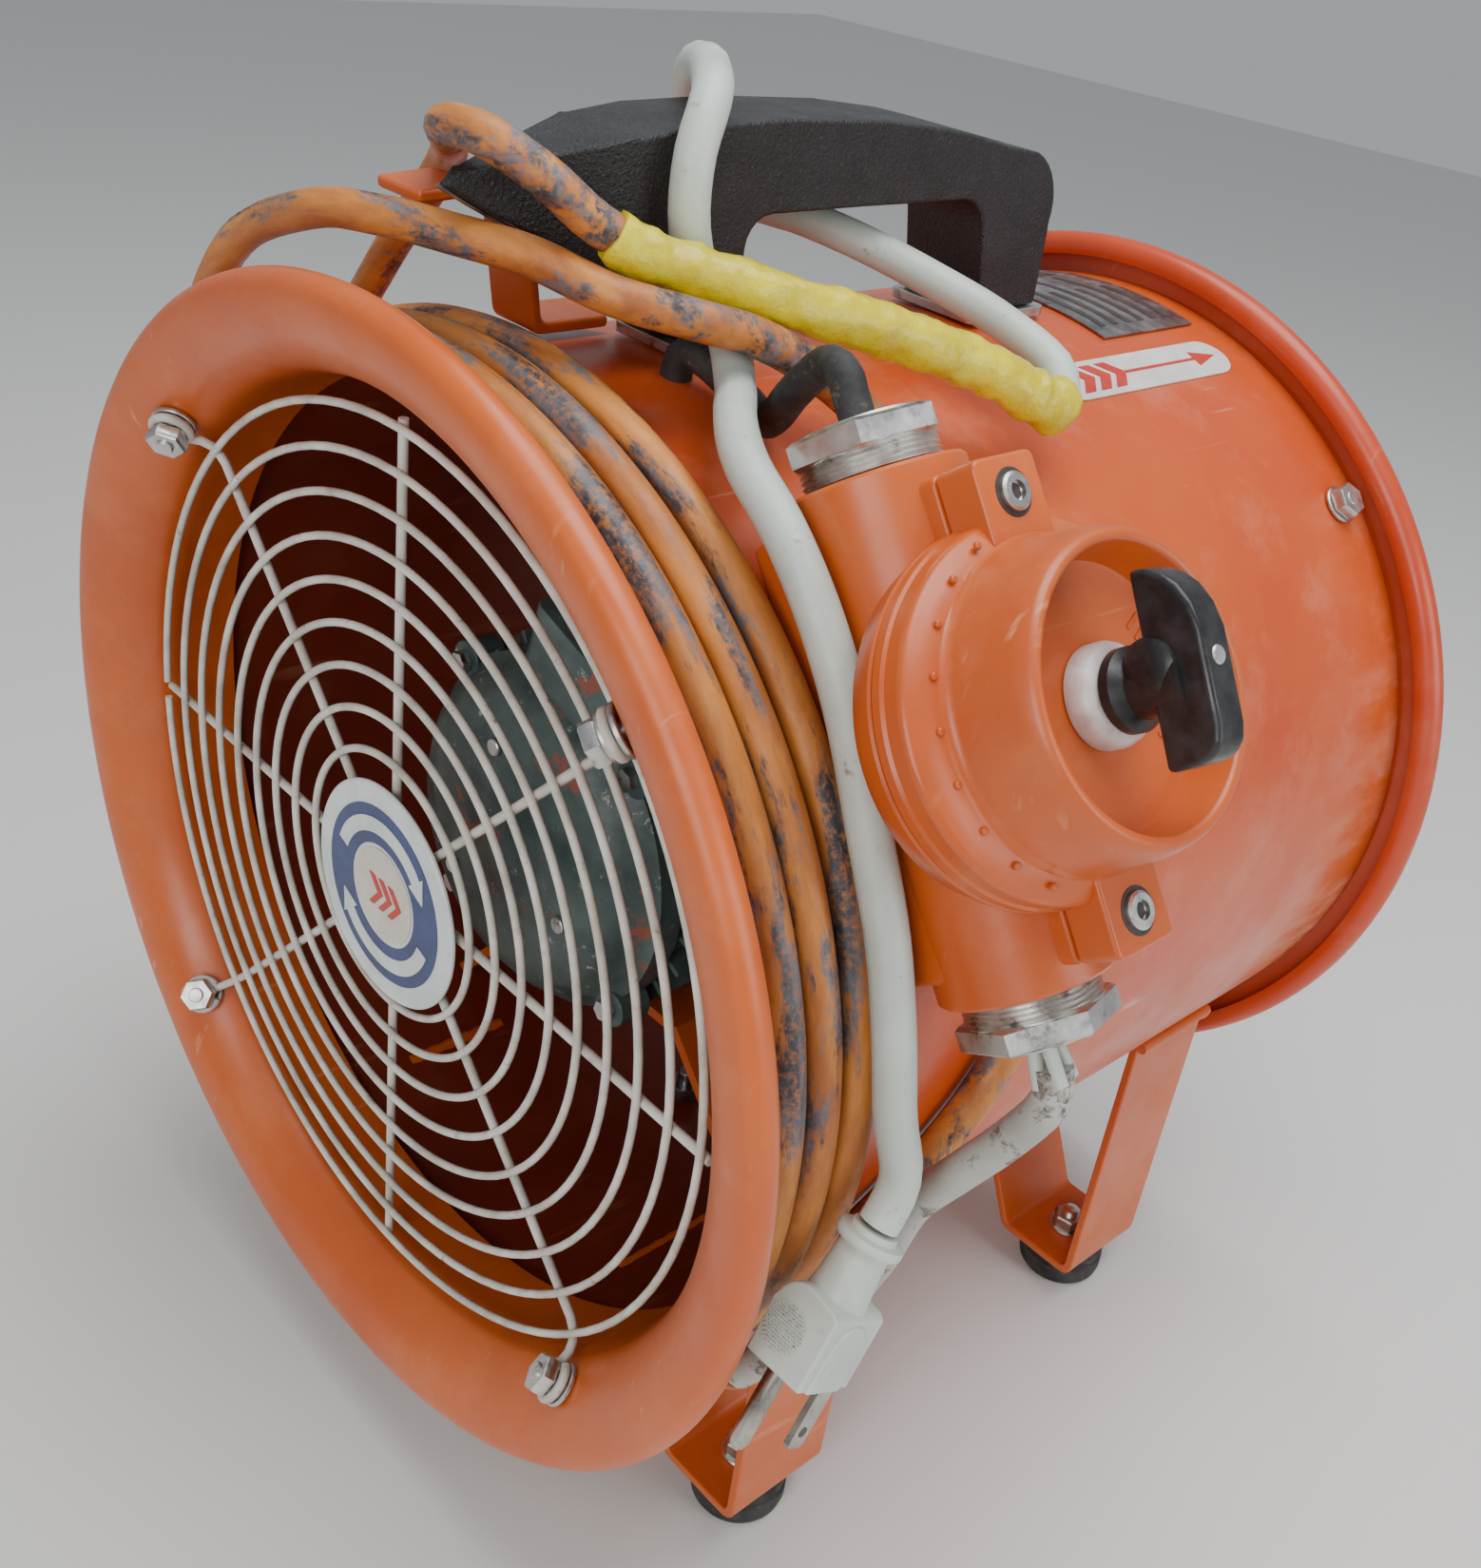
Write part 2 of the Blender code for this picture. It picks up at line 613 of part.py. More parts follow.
def make_motor_covers():
    front = [(0, 0.0550), (0.0152, 0.0550), (0.0152, 0.0730), (0.0190, 0.0730), (0.0190, 0.0600),
             (0.0340, 0.0580), (0.0430, 0.0620), (0.0455, 0.0680), (0.0455, 0.0747), (0.0500, 0.0747),
             (0.0500, 0.0640), (0.0460, 0.0560), (0.0360, 0.0520), (0, 0.0505)]
    turned("motor_front_cover", front, "green_grey_paint", 18, False, parent=fan_axis, rotation=LENGTHWISE)
    rear = [(0.0500, 0.1803), (0.0500, 0.1900), (0.0420, 0.1980), (0.0200, 0.2020), (0.0064, 0.2020),
            (0.0064, 0.1970), (0.0152, 0.1970), (0.0152, 0.1880), (0.0190, 0.1880), (0.0190, 0.1950),
            (0.0400, 0.1910), (0.0455, 0.1870), (0.0455, 0.1803)]
    turned("motor_rear_cover", rear, "green_grey_paint", 18, parent=fan_axis, rotation=LENGTHWISE)


def ring_profile(inner, outer, low, high):
    return [(outer, high), (outer, low), (inner, low), (inner, high)]


def make_motor_inside():
    place = {"parent": fan_axis, "rotation": LENGTHWISE}
    turned("motor_stator", ring_profile(0.0300, 0.0462, 0.0900, 0.1650), "copper", 24, **place)
    turned("bearing_front", ring_profile(0.0063, 0.0149, 0.0640, 0.0720), "steel", 24, **place)
    turned("bearing_rear", ring_profile(0.0063, 0.0149, 0.1884, 0.1964), "steel", 24, **place)
    rotor = [(0, 0.0580), (0.0060, 0.0580), (0.0060, 0.0740), (0.0090, 0.0760), (0.0090, 0.0930),
             (0.0293, 0.0930), (0.0293, 0.1620), (0.0090, 0.1620), (0.0090, 0.1860), (0.0060, 0.1870),
             (0.0060, 0.2520), (0, 0.2520)]
    turned("motor_rotor", rotor, "steel", 24, False, **place)


def make_terminal_box():
    frame = radial_frame("terminal_frame", TERMINAL_ANGLE, 0.0740, 0)
    box = add_object("terminal_box", box_mesh("box", (-0.018, -0.020, 0.0585), (0.018, 0.020, 0.0760)),
                     "green_grey_paint", frame)
    gland = helper(cylinder_mesh("gland", 0.0085, 0.0750, 0.0900, 16), box)
    gland.location.y = TERMINAL_GLAND_Y
    combine(box, gland)
    bore = helper(cylinder_mesh("bore", 0.0050, 0.0790, 0.0950, 12), box)
    bore.location.y = TERMINAL_GLAND_Y
    combine(box, bore, "DIFFERENCE")


def make_motor_cradle():
    """A bent strap under the motor whose legs reach down to the drum wall."""
    path = [(-0.0900, -0.1220), (-0.0350, -0.0615), (0.0350, -0.0615), (0.0900, -0.1220)]
    mesh = plate_mesh("motor_cradle", [strip_outline(path[::-1], 0.0035)], 0.0600)
    cradle = add_object("motor_cradle", mesh, "orange_paint", fan_axis, (0, 0.1250, 0), ACROSS)
    bpy.context.view_layer.update()
    inner = DRUM_RADIUS - DRUM_WALL - GAP * 2
    room = cylinder_mesh("drum_room", inner, 0.0500, 0.2500, FACETS)
    combine(cradle, helper(room, cradle, (0, 0, 0), LENGTHWISE), "INTERSECT")
    fins = cylinder_mesh("fin_room", FIN_RADIUS + GAP, 0.0500, 0.2500, FACETS)
    combine(cradle, helper(fins, cradle, (0, 0, 0), LENGTHWISE), "DIFFERENCE")


def make_impeller():
    hub = add_object("impeller", cylinder_mesh("hub", 0.0260, 0.2140, 0.2500, 24), "red_paint",
                     fan_axis, (0, 0, 0), LENGTHWISE)
    blades = 6
    pitch = math.radians(38)
    for k in range(blades):
        turn = 2 * math.pi * k / blades
        blade = helper(box_mesh("blade", (0.0220, -0.0012, -0.0250), (0.1300, 0.0012, 0.0250)), hub)
        blade.parent = hub
        matrix = Matrix.Rotation(turn, 3, "Z") @ Matrix.Rotation(pitch, 3, "X")
        blade.rotation_euler = matrix.to_euler()
        blade.location = (0, 0, 0.2320)
        combine(hub, blade)
    bore = helper(cylinder_mesh("hub_bore", SHAFT_RADIUS + GAP, 0.2000, 0.2600, 24), hub)
    bore.rotation_euler = LENGTHWISE
    combine(hub, bore, "DIFFERENCE")


# ---------------------------------------------------------------- switch box

SPLIT_X = 0.1820
NECK_X = 0.1590
NECK_RADIUS = 0.0200
NECK_END = 0.0570
BODY_LOW = 0.1610
LUG_Y = (-0.0080, 0.0110)
LUG_Z = (0.0330, 0.0520)
SCREW_YZ = (0.0015, 0.0440)
OUTWARD = (0, math.pi / 2, 0)  # local Z points away from the fan axis


def join_lugs(item, low, high):
    for side in (1, -1):
        near, far = sorted((side * LUG_Z[0], side * LUG_Z[1]))
        lug = box_mesh("lug", (low, LUG_Y[0], near), (high, LUG_Y[1], far))
        combine(item, helper(lug, item))
        hole = cylinder_mesh("screw_hole", 0.0027, 0.1700, 0.2000, 12)
        spot = (0, SCREW_YZ[0], side * SCREW_YZ[1])
        combine(item, helper(hole, item, spot, OUTWARD), "DIFFERENCE")


def make_switch_base():
    dome = [(0, SPLIT_X - GAP), (0.0440, SPLIT_X - GAP), (0.0425, 0.1760), (0.0370, 0.1690),
            (0.0240, BODY_LOW), (0, BODY_LOW)]
    base = turned("switch_base", dome, "orange_paint", 32, False, parent=switch_frame, rotation=OUTWARD)
    bake(base)
    neck = cylinder_mesh("neck", NECK_RADIUS, -NECK_END, NECK_END, 24)
    combine(base, helper(neck, base, (NECK_X, 0, 0)))
    combine(base, helper(box_mesh("saddle", (0.1300, -0.0196, -0.0520), (0.1585, 0.0196, 0.0520)), base))
    join_lugs(base, 0.1730, SPLIT_X - GAP)
    cavity = cylinder_mesh("cavity", 0.0310, 0.1665, 0.2000, 24)
    combine(base, helper(cavity, base, (0, 0, 0), OUTWARD), "DIFFERENCE")
    bore = cylinder_mesh("neck_bore", 0.0095, -0.07, 0.07, 16)
    combine(base, helper(bore, base, (NECK_X, 0, 0)), "DIFFERENCE")
    drum = cylinder_mesh("drum_space", DRUM_RADIUS + GAP, -0.07, 0.07, FACETS)
    turn = Matrix.Rotation(math.radians(SWITCH_ANGLE), 3, "Y") @ Matrix.Rotation(-math.pi / 2, 3, "X")
    combine(base, helper(drum, base, (0, 0, 0), turn.to_euler()), "DIFFERENCE")


def make_switch_cover():
    profile = [(0.0467, SPLIT_X), (0.0467, 0.1900), (0.0437, 0.1930), (0.0350, 0.1930), (0.0315, 0.2110),
               (0.0305, 0.2120), (0.0288, 0.2120), (0.0282, 0.2000), (0.0066, 0.2000), (0.0066, 0.1960),
               (0.0270, 0.1960), (0.0300, 0.1895), (0.0380, 0.1870), (0.0380, SPLIT_X)]
    cover = turned("switch_cover", profile, "orange_paint", 24, parent=switch_frame, rotation=OUTWARD)
    bake(cover)
    join_lugs(cover, SPLIT_X, 0.1930)
    cup = cylinder_mesh("cup_room", 0.0370, 0.1700, 0.1880, 32)
    combine(cover, helper(cup, cover, (0, 0, 0), OUTWARD), "DIFFERENCE")
    for side in (1, -1):
        sink = cylinder_mesh("counterbore", 0.0046, 0.1888, 0.1990, 16)
        spot = (0, SCREW_YZ[0], side * SCREW_YZ[1])
        combine(cover, helper(sink, cover, spot, OUTWARD), "DIFFERENCE")


def make_cover_screws():
    for label, side in (("upper", 1), ("lower", -1)):
        spot = (0, SCREW_YZ[0], side * SCREW_YZ[1])
        screw = add_object(f"cover_screw_{label}", cylinder_mesh("shank", 0.0024, 0.1735, 0.1900, 12),
                           "steel", switch_frame, spot, OUTWARD)
        combine(screw, helper(cylinder_mesh("cap", 0.0042, 0.1892, 0.1932, 16), screw, spot, OUTWARD))
        socket = cylinder_mesh("socket", 0.0021, 0.1912, 0.1950, 6)
        combine(screw, helper(socket, screw, spot, OUTWARD), "DIFFERENCE")


def make_switch_works():
    place = {"parent": switch_frame, "rotation": OUTWARD}
    block = ring_profile(0.0036, 0.0280, 0.1690, 0.1800)
    turned("contact_block", block, "nylon", 24, **place)
    spindle = [(0, 0.2160), (0.0030, 0.2160), (0.0030, 0.1830), (0.0060, 0.1826), (0.0060, 0.1803),
               (0.0030, 0.1803), (0.0030, 0.1710), (0, 0.1710)]
    turned("switch_spindle", spindle, "steel", 16, False, **place)
    boss = [(0.0103, 0.2003), (0.0103, 0.2040), (0.0090, 0.2060), (0.0034, 0.2060), (0.0034, 0.1940),
            (0.0062, 0.1940), (0.0062, 0.2003)]
    turned("spindle_boss", boss, "nylon", 24, **place)


def make_switch_knob():
    low, high = 0.2155, 0.2290
    outline = [(0.0220, low), (0.0205, 0.2210), (0.0165, 0.2255), (0.0110, 0.2282), (0.0060, high),
               (-0.0100, high), (-0.0142, 0.2270), (-0.0165, 0.2230), (-0.0172, low)]
    mesh = plate_mesh("switch_knob", [outline], 0.0086)
    knob = add_object("switch_knob", cylinder_mesh("collar", 0.0085, 0.2063, 0.2240, 24, 0.0060),
                      "black_plastic", switch_frame, (0, 0, 0), OUTWARD)
    bpy.context.view_layer.update()
    lean = math.radians(8)
    turn = Matrix.Rotation(-lean, 3, "X") @ Matrix(((0, 1, 0), (0, 0, 1), (1, 0, 0)))
    combine(knob, helper(mesh, knob, (0, 0, 0), turn.to_euler()))
    bore = cylinder_mesh("knob_bore", 0.0033, 0.2000, 0.2164, 16)
    combine(knob, helper(bore, knob, (0, 0, 0), OUTWARD), "DIFFERENCE")


def make_gland(name, side):
    """A threaded collar and hexagon at one end of the neck, bored for the cable."""
    flip = (0, 0, 0) if side > 0 else (math.pi, 0, 0)
    gland = add_object(name, cylinder_mesh(name, 0.0092, 0.0470, 0.0600, 16), "zinc",
                       switch_frame, (NECK_X, 0, 0), flip)
    bpy.context.view_layer.update()
    place = {"location": (NECK_X, 0, 0), "rotation": flip}
    combine(gland, helper(cylinder_mesh("thread", 0.0158, NECK_END + GAP, 0.0625, 24), gland, **place))
    combine(gland, helper(cylinder_mesh("hexagon", 0.0184, 0.0620, 0.0692, 6), gland, **place))
    combine(gland, helper(cylinder_mesh("cable_bore", 0.0056, 0.0400, 0.0750, 16), gland, **place), "DIFFERENCE")


# ---------------------------------------------------------------- cables

LEAD_RADIUS = 0.0042
LEAD_ENTRY = (0.0172, 0.0840)
LEAD_ROUTE = [(0.0720, 0.0780, 0.1570), (0.0610, 0.0810, 0.1470), (0.0500, 0.0850, 0.1360),
              (0.0400, 0.0865, 0.1378), (0.0290, 0.0860, 0.1420), (0.0200, 0.0845, 0.1440),
              (0.0172, 0.0840, 0.1380), (0.0172, 0.0838, 0.1290), (0.0195, 0.0790, 0.1200),
              (0.0270, 0.0700, 0.1100), (0.0324, 0.0662, 0.0999), (0.0294, 0.0660, 0.0904),
              (0.0256, 0.0660, 0.0789)]
SUPPLY_ROUTE = [(0.1755, 0.0735, 0.0230), (0.1690, 0.0715, 0.0080), (0.1600, 0.0690, -0.0080),
                (0.1515, 0.0660, -0.0240), (0.1475, 0.0625, -0.0430), (0.1420, 0.0560, -0.0620),
                (0.1345, 0.0500, -0.0780), (0.1235, 0.0460, -0.0950)]
OVER_ROUTE = [(-0.1340, 0.0330, 0.0830), (-0.1200, 0.0270, 0.1160), (-0.0870, 0.0220, 0.1480),
              (-0.0480, 0.0210, 0.1650), (-0.0240, 0.0250, 0.1690), (-0.0040, 0.0325, 0.1690),
              (0.0140, 0.0405, 0.1680), (0.0310, 0.0500, 0.1635), (0.0430, 0.0640, 0.1602),
              (0.0490, 0.0780, 0.1566), (0.0530, 0.0920, 0.1495), (0.0600, 0.1050, 0.1395),
              (0.0740, 0.1140, 0.1250), (0.0910, 0.1195, 0.1105), (0.1110, 0.1210, 0.0905),
              (0.1255, 0.1195, 0.0695), (0.1370, 0.1160, 0.0420), (0.1423, 0.1100, 0.0155),
              (0.1430, 0.0990, -0.0060), (0.1410, 0.0850, -0.0250), (0.1368, 0.0715, -0.0425),
              (0.1310, 0.0610, -0.0580), (0.1274, 0.0577, -0.0655)]
RISE_ROUTE = [(-0.1290, 0.0577, 0.0620), (-0.1110, 0.0600, 0.1000), (-0.0850, 0.0640, 0.1400),
              (-0.0550, 0.0620, 0.1710), (-0.0400, 0.0545, 0.1810), (-0.0250, 0.0440, 0.1860),
              (-0.0090, 0.0325, 0.1915), (0.0060, 0.0320, 0.1925), (0.0170, 0.0405, 0.1860),
              (0.0250, 0.0510, 0.1765)]
TAPE_ROUTE = [(0.0300, 0.0600, 0.1710), (0.0440, 0.0850, 0.1640), (0.0560, 0.1150, 0.1560),
              (0.0650, 0.1450, 0.1460), (0.0700, 0.1600, 0.1385), (0.0740, 0.1680, 0.1350)]
PIGTAIL_ROUTE = [(0.0640, 0.1730, 0.1440), (0.0460, 0.1700, 0.1510), (0.0280, 0.1650, 0.1560),
                 (0.0080, 0.1570, 0.1615), (-0.0090, 0.1480, 0.1655), (-0.0215, 0.1380, 0.1685),
                 (-0.0280, 0.1290, 0.1795), (-0.0275, 0.1200, 0.1925), (-0.0190, 0.1125, 0.2020),
                 (-0.0040, 0.1030, 0.2050), (0.0090, 0.0930, 0.2050), (0.0185, 0.0850, 0.2015),
                 (0.0227, 0.0780, 0.1900), (0.0232, 0.0780, 0.1750), (0.0240, 0.0830, 0.1610),
                 (0.0330, 0.0840, 0.1530), (0.0480, 0.0750, 0.1445), (0.0590, 0.0650, 0.1440),
                 (0.0700, 0.0560, 0.1430), (0.0810, 0.0500, 0.1400), (0.0940, 0.0475, 0.1340),
                 (0.1060, 0.0465, 0.1240), (0.1160, 0.0465, 0.1115), (0.1240, 0.0465, 0.0985),
                 (0.1340, 0.0462, 0.0785), (0.1435, 0.0460, 0.0590), (0.1502, 0.0458, 0.0390),
                 (0.1546, 0.0470, 0.0165), (0.1570, 0.0500, 0.0020), (0.1579, 0.0485, -0.0056),
                 (0.1580, 0.0447, -0.0118)]
PLUG_TOP = (0.1580, 0.0440, -0.0130)
PLUG_AXIS = Vector((0.010, -0.500, -0.820)).normalized()
BLADE_SPACING = 0.0127


def neck_point(side, distance):
    """A point on the neck's centre line, in the frame of the fan axis."""
    along, out = math.radians(SWITCH_ANGLE + 90), math.radians(SWITCH_ANGLE)
    x = NECK_X * math.cos(out) + side * distance * math.cos(along)
    z = NECK_X * math.sin(out) + side * distance * math.sin(along)
    return (x, SWITCH_Y, z)


def make_cable(name, route, radius, material, spacing=1.7, sides=1):
    points = smooth_route(route, radius * 2 * spacing)
    add_object(name, tube_mesh(name, [points], radius, False, sides), material, fan_axis)


def make_coil():
    """The turns lying on the drum behind the bell, as one ring."""
    profile = ring_profile(DRUM_RADIUS + 0.0005, COIL_OUTER, 0.0178, 0.0525)
    turned("cord_winding", profile, "orange_cable", parent=fan_axis, rotation=LENGTHWISE)


def make_plug():
    """A moulded three-pin plug whose local Z runs along its pins and local Y faces forward."""
    aside = (Vector((1, 0, 0)) - PLUG_AXIS * PLUG_AXIS.x).normalized()
    turn = Matrix((aside, PLUG_AXIS.cross(aside), PLUG_AXIS)).transposed()
    frame = add_empty("plug_frame", PLUG_TOP, turn.to_euler(), fan_axis)
    plug = add_object("plug_body", box_mesh("body", (-0.0085, -0.0105, 0.0170), (0.0085, 0.0105, 0.0385)),
                      "white_cable", frame)
    bpy.context.view_layer.update()
    combine(plug, helper(cylinder_mesh("neck", 0.0060, 0.0000, 0.0200, 16, 0.0082), plug))
    combine(plug, helper(cylinder_mesh("disc", 0.0082, 0.0015, 0.0035, 20), plug))
    for side in (1, -1):
        middle = side * BLADE_SPACING / 2
        blade = box_mesh("blade", (middle - 0.0008, -0.0080, 0.0380), (middle + 0.0008, -0.0018, 0.0550))
        combine(plug, helper(blade, plug))
    pin = cylinder_mesh("ground_pin", 0.0024, 0.0380, 0.0585, 12)
    combine(plug, helper(pin, plug, (0, 0.0070, 0)))


def make_cables():
    make_coil()
    lead = [neck_point(1, 0.0500), neck_point(1, 0.0620), neck_point(1, 0.0740), neck_point(1, 0.0800)]
    lead += LEAD_ROUTE
    make_cable("motor_lead", lead, LEAD_RADIUS, "black_rubber")
    supply = [neck_point(-1, 0.0500), neck_point(-1, 0.0700), neck_point(-1, 0.0780)] + SUPPLY_ROUTE
    make_cable("supply_lead", supply, CORD_RADIUS, "grey_cable")
    make_cable("cord_crossing", OVER_ROUTE, CORD_RADIUS, "orange_cable")
    make_cable("cord_rise", RISE_ROUTE, CORD_RADIUS, "orange_cable")
    make_cable("splice_sleeve", TAPE_ROUTE, 0.0060, "yellow_tape")
    make_cable("pigtail", PIGTAIL_ROUTE, 0.0050, "white_cable")


def build():
    make_drum_shell()
    make_front_bell()
    make_outlet_ring()
    make_guards()
    make_guard_bolts()
    make_guard_badge()
    make_legs()
    make_handle()
    make_handle_bracket()
    make_handle_fixings()
    make_nameplate()
    make_motor_shell()
    make_motor_covers()
    make_motor_inside()
    make_terminal_box()
    make_motor_cradle()
    make_impeller()
    make_switch_base()
    make_switch_cover()
    make_cover_screws()
    make_switch_works()
    make_switch_knob()
    make_gland("gland_upper", 1)
    make_gland("gland_lower", -1)
    make_cables()
    make_plug()


clear_scene()
parts = new_collection("portable_axial_fan")
cutters = new_collection("cutters")
MATERIALS.update({name: make_material(name) for name in COLOURS})
fan_axis = add_empty("fan_axis", (AXIS_X, LIP_Y, AXIS_HEIGHT))
switch_frame = add_empty("switch_frame", (0, SWITCH_Y, 0), (0, math.radians(-SWITCH_ANGLE), 0), fan_axis)
bpy.context.view_layer.update()
build()
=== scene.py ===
"""Visual model of the portable axial ventilator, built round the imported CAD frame.

Most pieces are made in the fan's own coordinates, in metres: x from the fan axis, y behind
the front lip and z above the axis. Z_ALONG turns a local Z axis to point rearward.
"""
import json
import math

import bmesh
import bpy
from mathutils import Matrix, Vector, noise


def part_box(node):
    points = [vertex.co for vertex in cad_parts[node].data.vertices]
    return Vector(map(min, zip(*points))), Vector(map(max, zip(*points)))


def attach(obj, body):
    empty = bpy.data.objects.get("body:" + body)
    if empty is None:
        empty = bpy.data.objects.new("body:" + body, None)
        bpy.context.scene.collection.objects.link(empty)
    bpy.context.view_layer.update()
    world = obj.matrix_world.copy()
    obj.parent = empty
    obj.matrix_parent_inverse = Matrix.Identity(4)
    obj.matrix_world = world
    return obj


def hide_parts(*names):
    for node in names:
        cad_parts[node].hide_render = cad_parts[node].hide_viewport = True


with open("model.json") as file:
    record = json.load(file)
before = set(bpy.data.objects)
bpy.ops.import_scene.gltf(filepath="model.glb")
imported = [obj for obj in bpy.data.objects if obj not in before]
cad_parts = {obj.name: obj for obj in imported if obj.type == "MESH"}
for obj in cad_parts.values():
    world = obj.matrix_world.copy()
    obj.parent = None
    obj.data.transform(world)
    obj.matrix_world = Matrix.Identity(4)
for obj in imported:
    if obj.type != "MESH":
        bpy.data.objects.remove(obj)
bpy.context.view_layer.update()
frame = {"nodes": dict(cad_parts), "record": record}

BELL_LOW, BELL_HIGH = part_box("front_bell")
AXIS = Vector(((BELL_LOW[0] + BELL_HIGH[0]) / 2, BELL_LOW[1], (BELL_LOW[2] + BELL_HIGH[2]) / 2))
FAN = Matrix.Translation(AXIS)
Z_ALONG = Matrix.Rotation(math.radians(-90), 4, "X")
OUTWARD = Matrix.Rotation(math.radians(90), 4, "Y")
# Where a flat outline's own x, y and thickness go
ON_YZ = Matrix(((0, 0, 1, 0), (1, 0, 0, 0), (0, 1, 0, 0), (0, 0, 0, 1)))
ON_XZ = Matrix(((1, 0, 0, 0), (0, 0, 1, 0), (0, 1, 0, 0), (0, 0, 0, 1)))
ON_ZX = Matrix(((0, 1, 0, 0), (0, 0, 1, 0), (1, 0, 0, 0), (0, 0, 0, 1)))
SWITCH_ANGLE = 36
SWITCH_Y = 0.0740
NECK_X = 0.1590
SWITCH = FAN @ Matrix.Translation((0, SWITCH_Y, 0)) @ Matrix.Rotation(math.radians(-SWITCH_ANGLE), 4, "Y")
BOLT_ANGLES = (45, 135, 225, 315)
DRUM_RADIUS = 0.1380


# ---------------------------------------------------------------- camera, lights and floor

def add_camera():
    camera = bpy.data.cameras.new("camera")
    camera.lens = 38.45
    camera.sensor_width = 36
    item = bpy.data.objects.new("camera", camera)
    bpy.context.scene.collection.objects.link(item)
    turn = (Matrix.Rotation(math.radians(43.84), 4, "Z") @ Matrix.Rotation(math.radians(59.69), 4, "X")
            @ Matrix.Rotation(math.radians(7.92), 4, "Z"))
    item.matrix_world = Matrix.Translation(AXIS + Vector((0.3196, -0.1881, 0.2612))) @ turn
    bpy.context.scene.camera = item


def add_light(name, place, target, size, power, colour=(1, 1, 1)):
    light = bpy.data.lights.new(name, "AREA")
    light.size = size
    light.energy = power
    light.color = colour
    item = bpy.data.objects.new(name, light)
    bpy.context.scene.collection.objects.link(item)
    item.location = place
    item.rotation_euler = (Vector(target) - Vector(place)).to_track_quat("-Z", "Y").to_euler()


def add_studio():
    world = bpy.data.worlds.new("studio")
    world.use_nodes = True
    world.node_tree.nodes["Background"].inputs["Color"].default_value = (0.90, 0.95, 1.0, 1)
    world.node_tree.nodes["Background"].inputs["Strength"].default_value = 0.42
    bpy.context.scene.world = world
    add_light("overhead", (0.10, 0.05, 1.30), (0, 0, 0.2), 0.9, 14, (0.98, 0.99, 1.0))
    add_light("front", (0.60, -1.20, 0.75), (0, 0, 0.2), 0.7, 9, (1.0, 0.98, 0.95))
    add_light("side", (1.30, 0.30, 0.60), (0, 0, 0.2), 0.8, 7, (0.95, 0.98, 1.0))
    bm = bmesh.new()
    bmesh.ops.create_grid(bm, x_segments=1, y_segments=1, size=3)
    mesh = bpy.data.meshes.new("floor")
    bm.to_mesh(mesh)
    bm.free()
    floor = bpy.data.objects.new("floor", mesh)
    bpy.context.scene.collection.objects.link(floor)
    floor.location.z = -0.0003
    material = bpy.data.materials.new("floor")
    material.use_nodes = True
    shader = material.node_tree.nodes["Principled BSDF"]
    shader.inputs["Base Color"].default_value = (0.72, 0.71, 0.69, 1)
    shader.inputs["Roughness"].default_value = 0.8
    mesh.materials.append(material)


# ---------------------------------------------------------------- materials

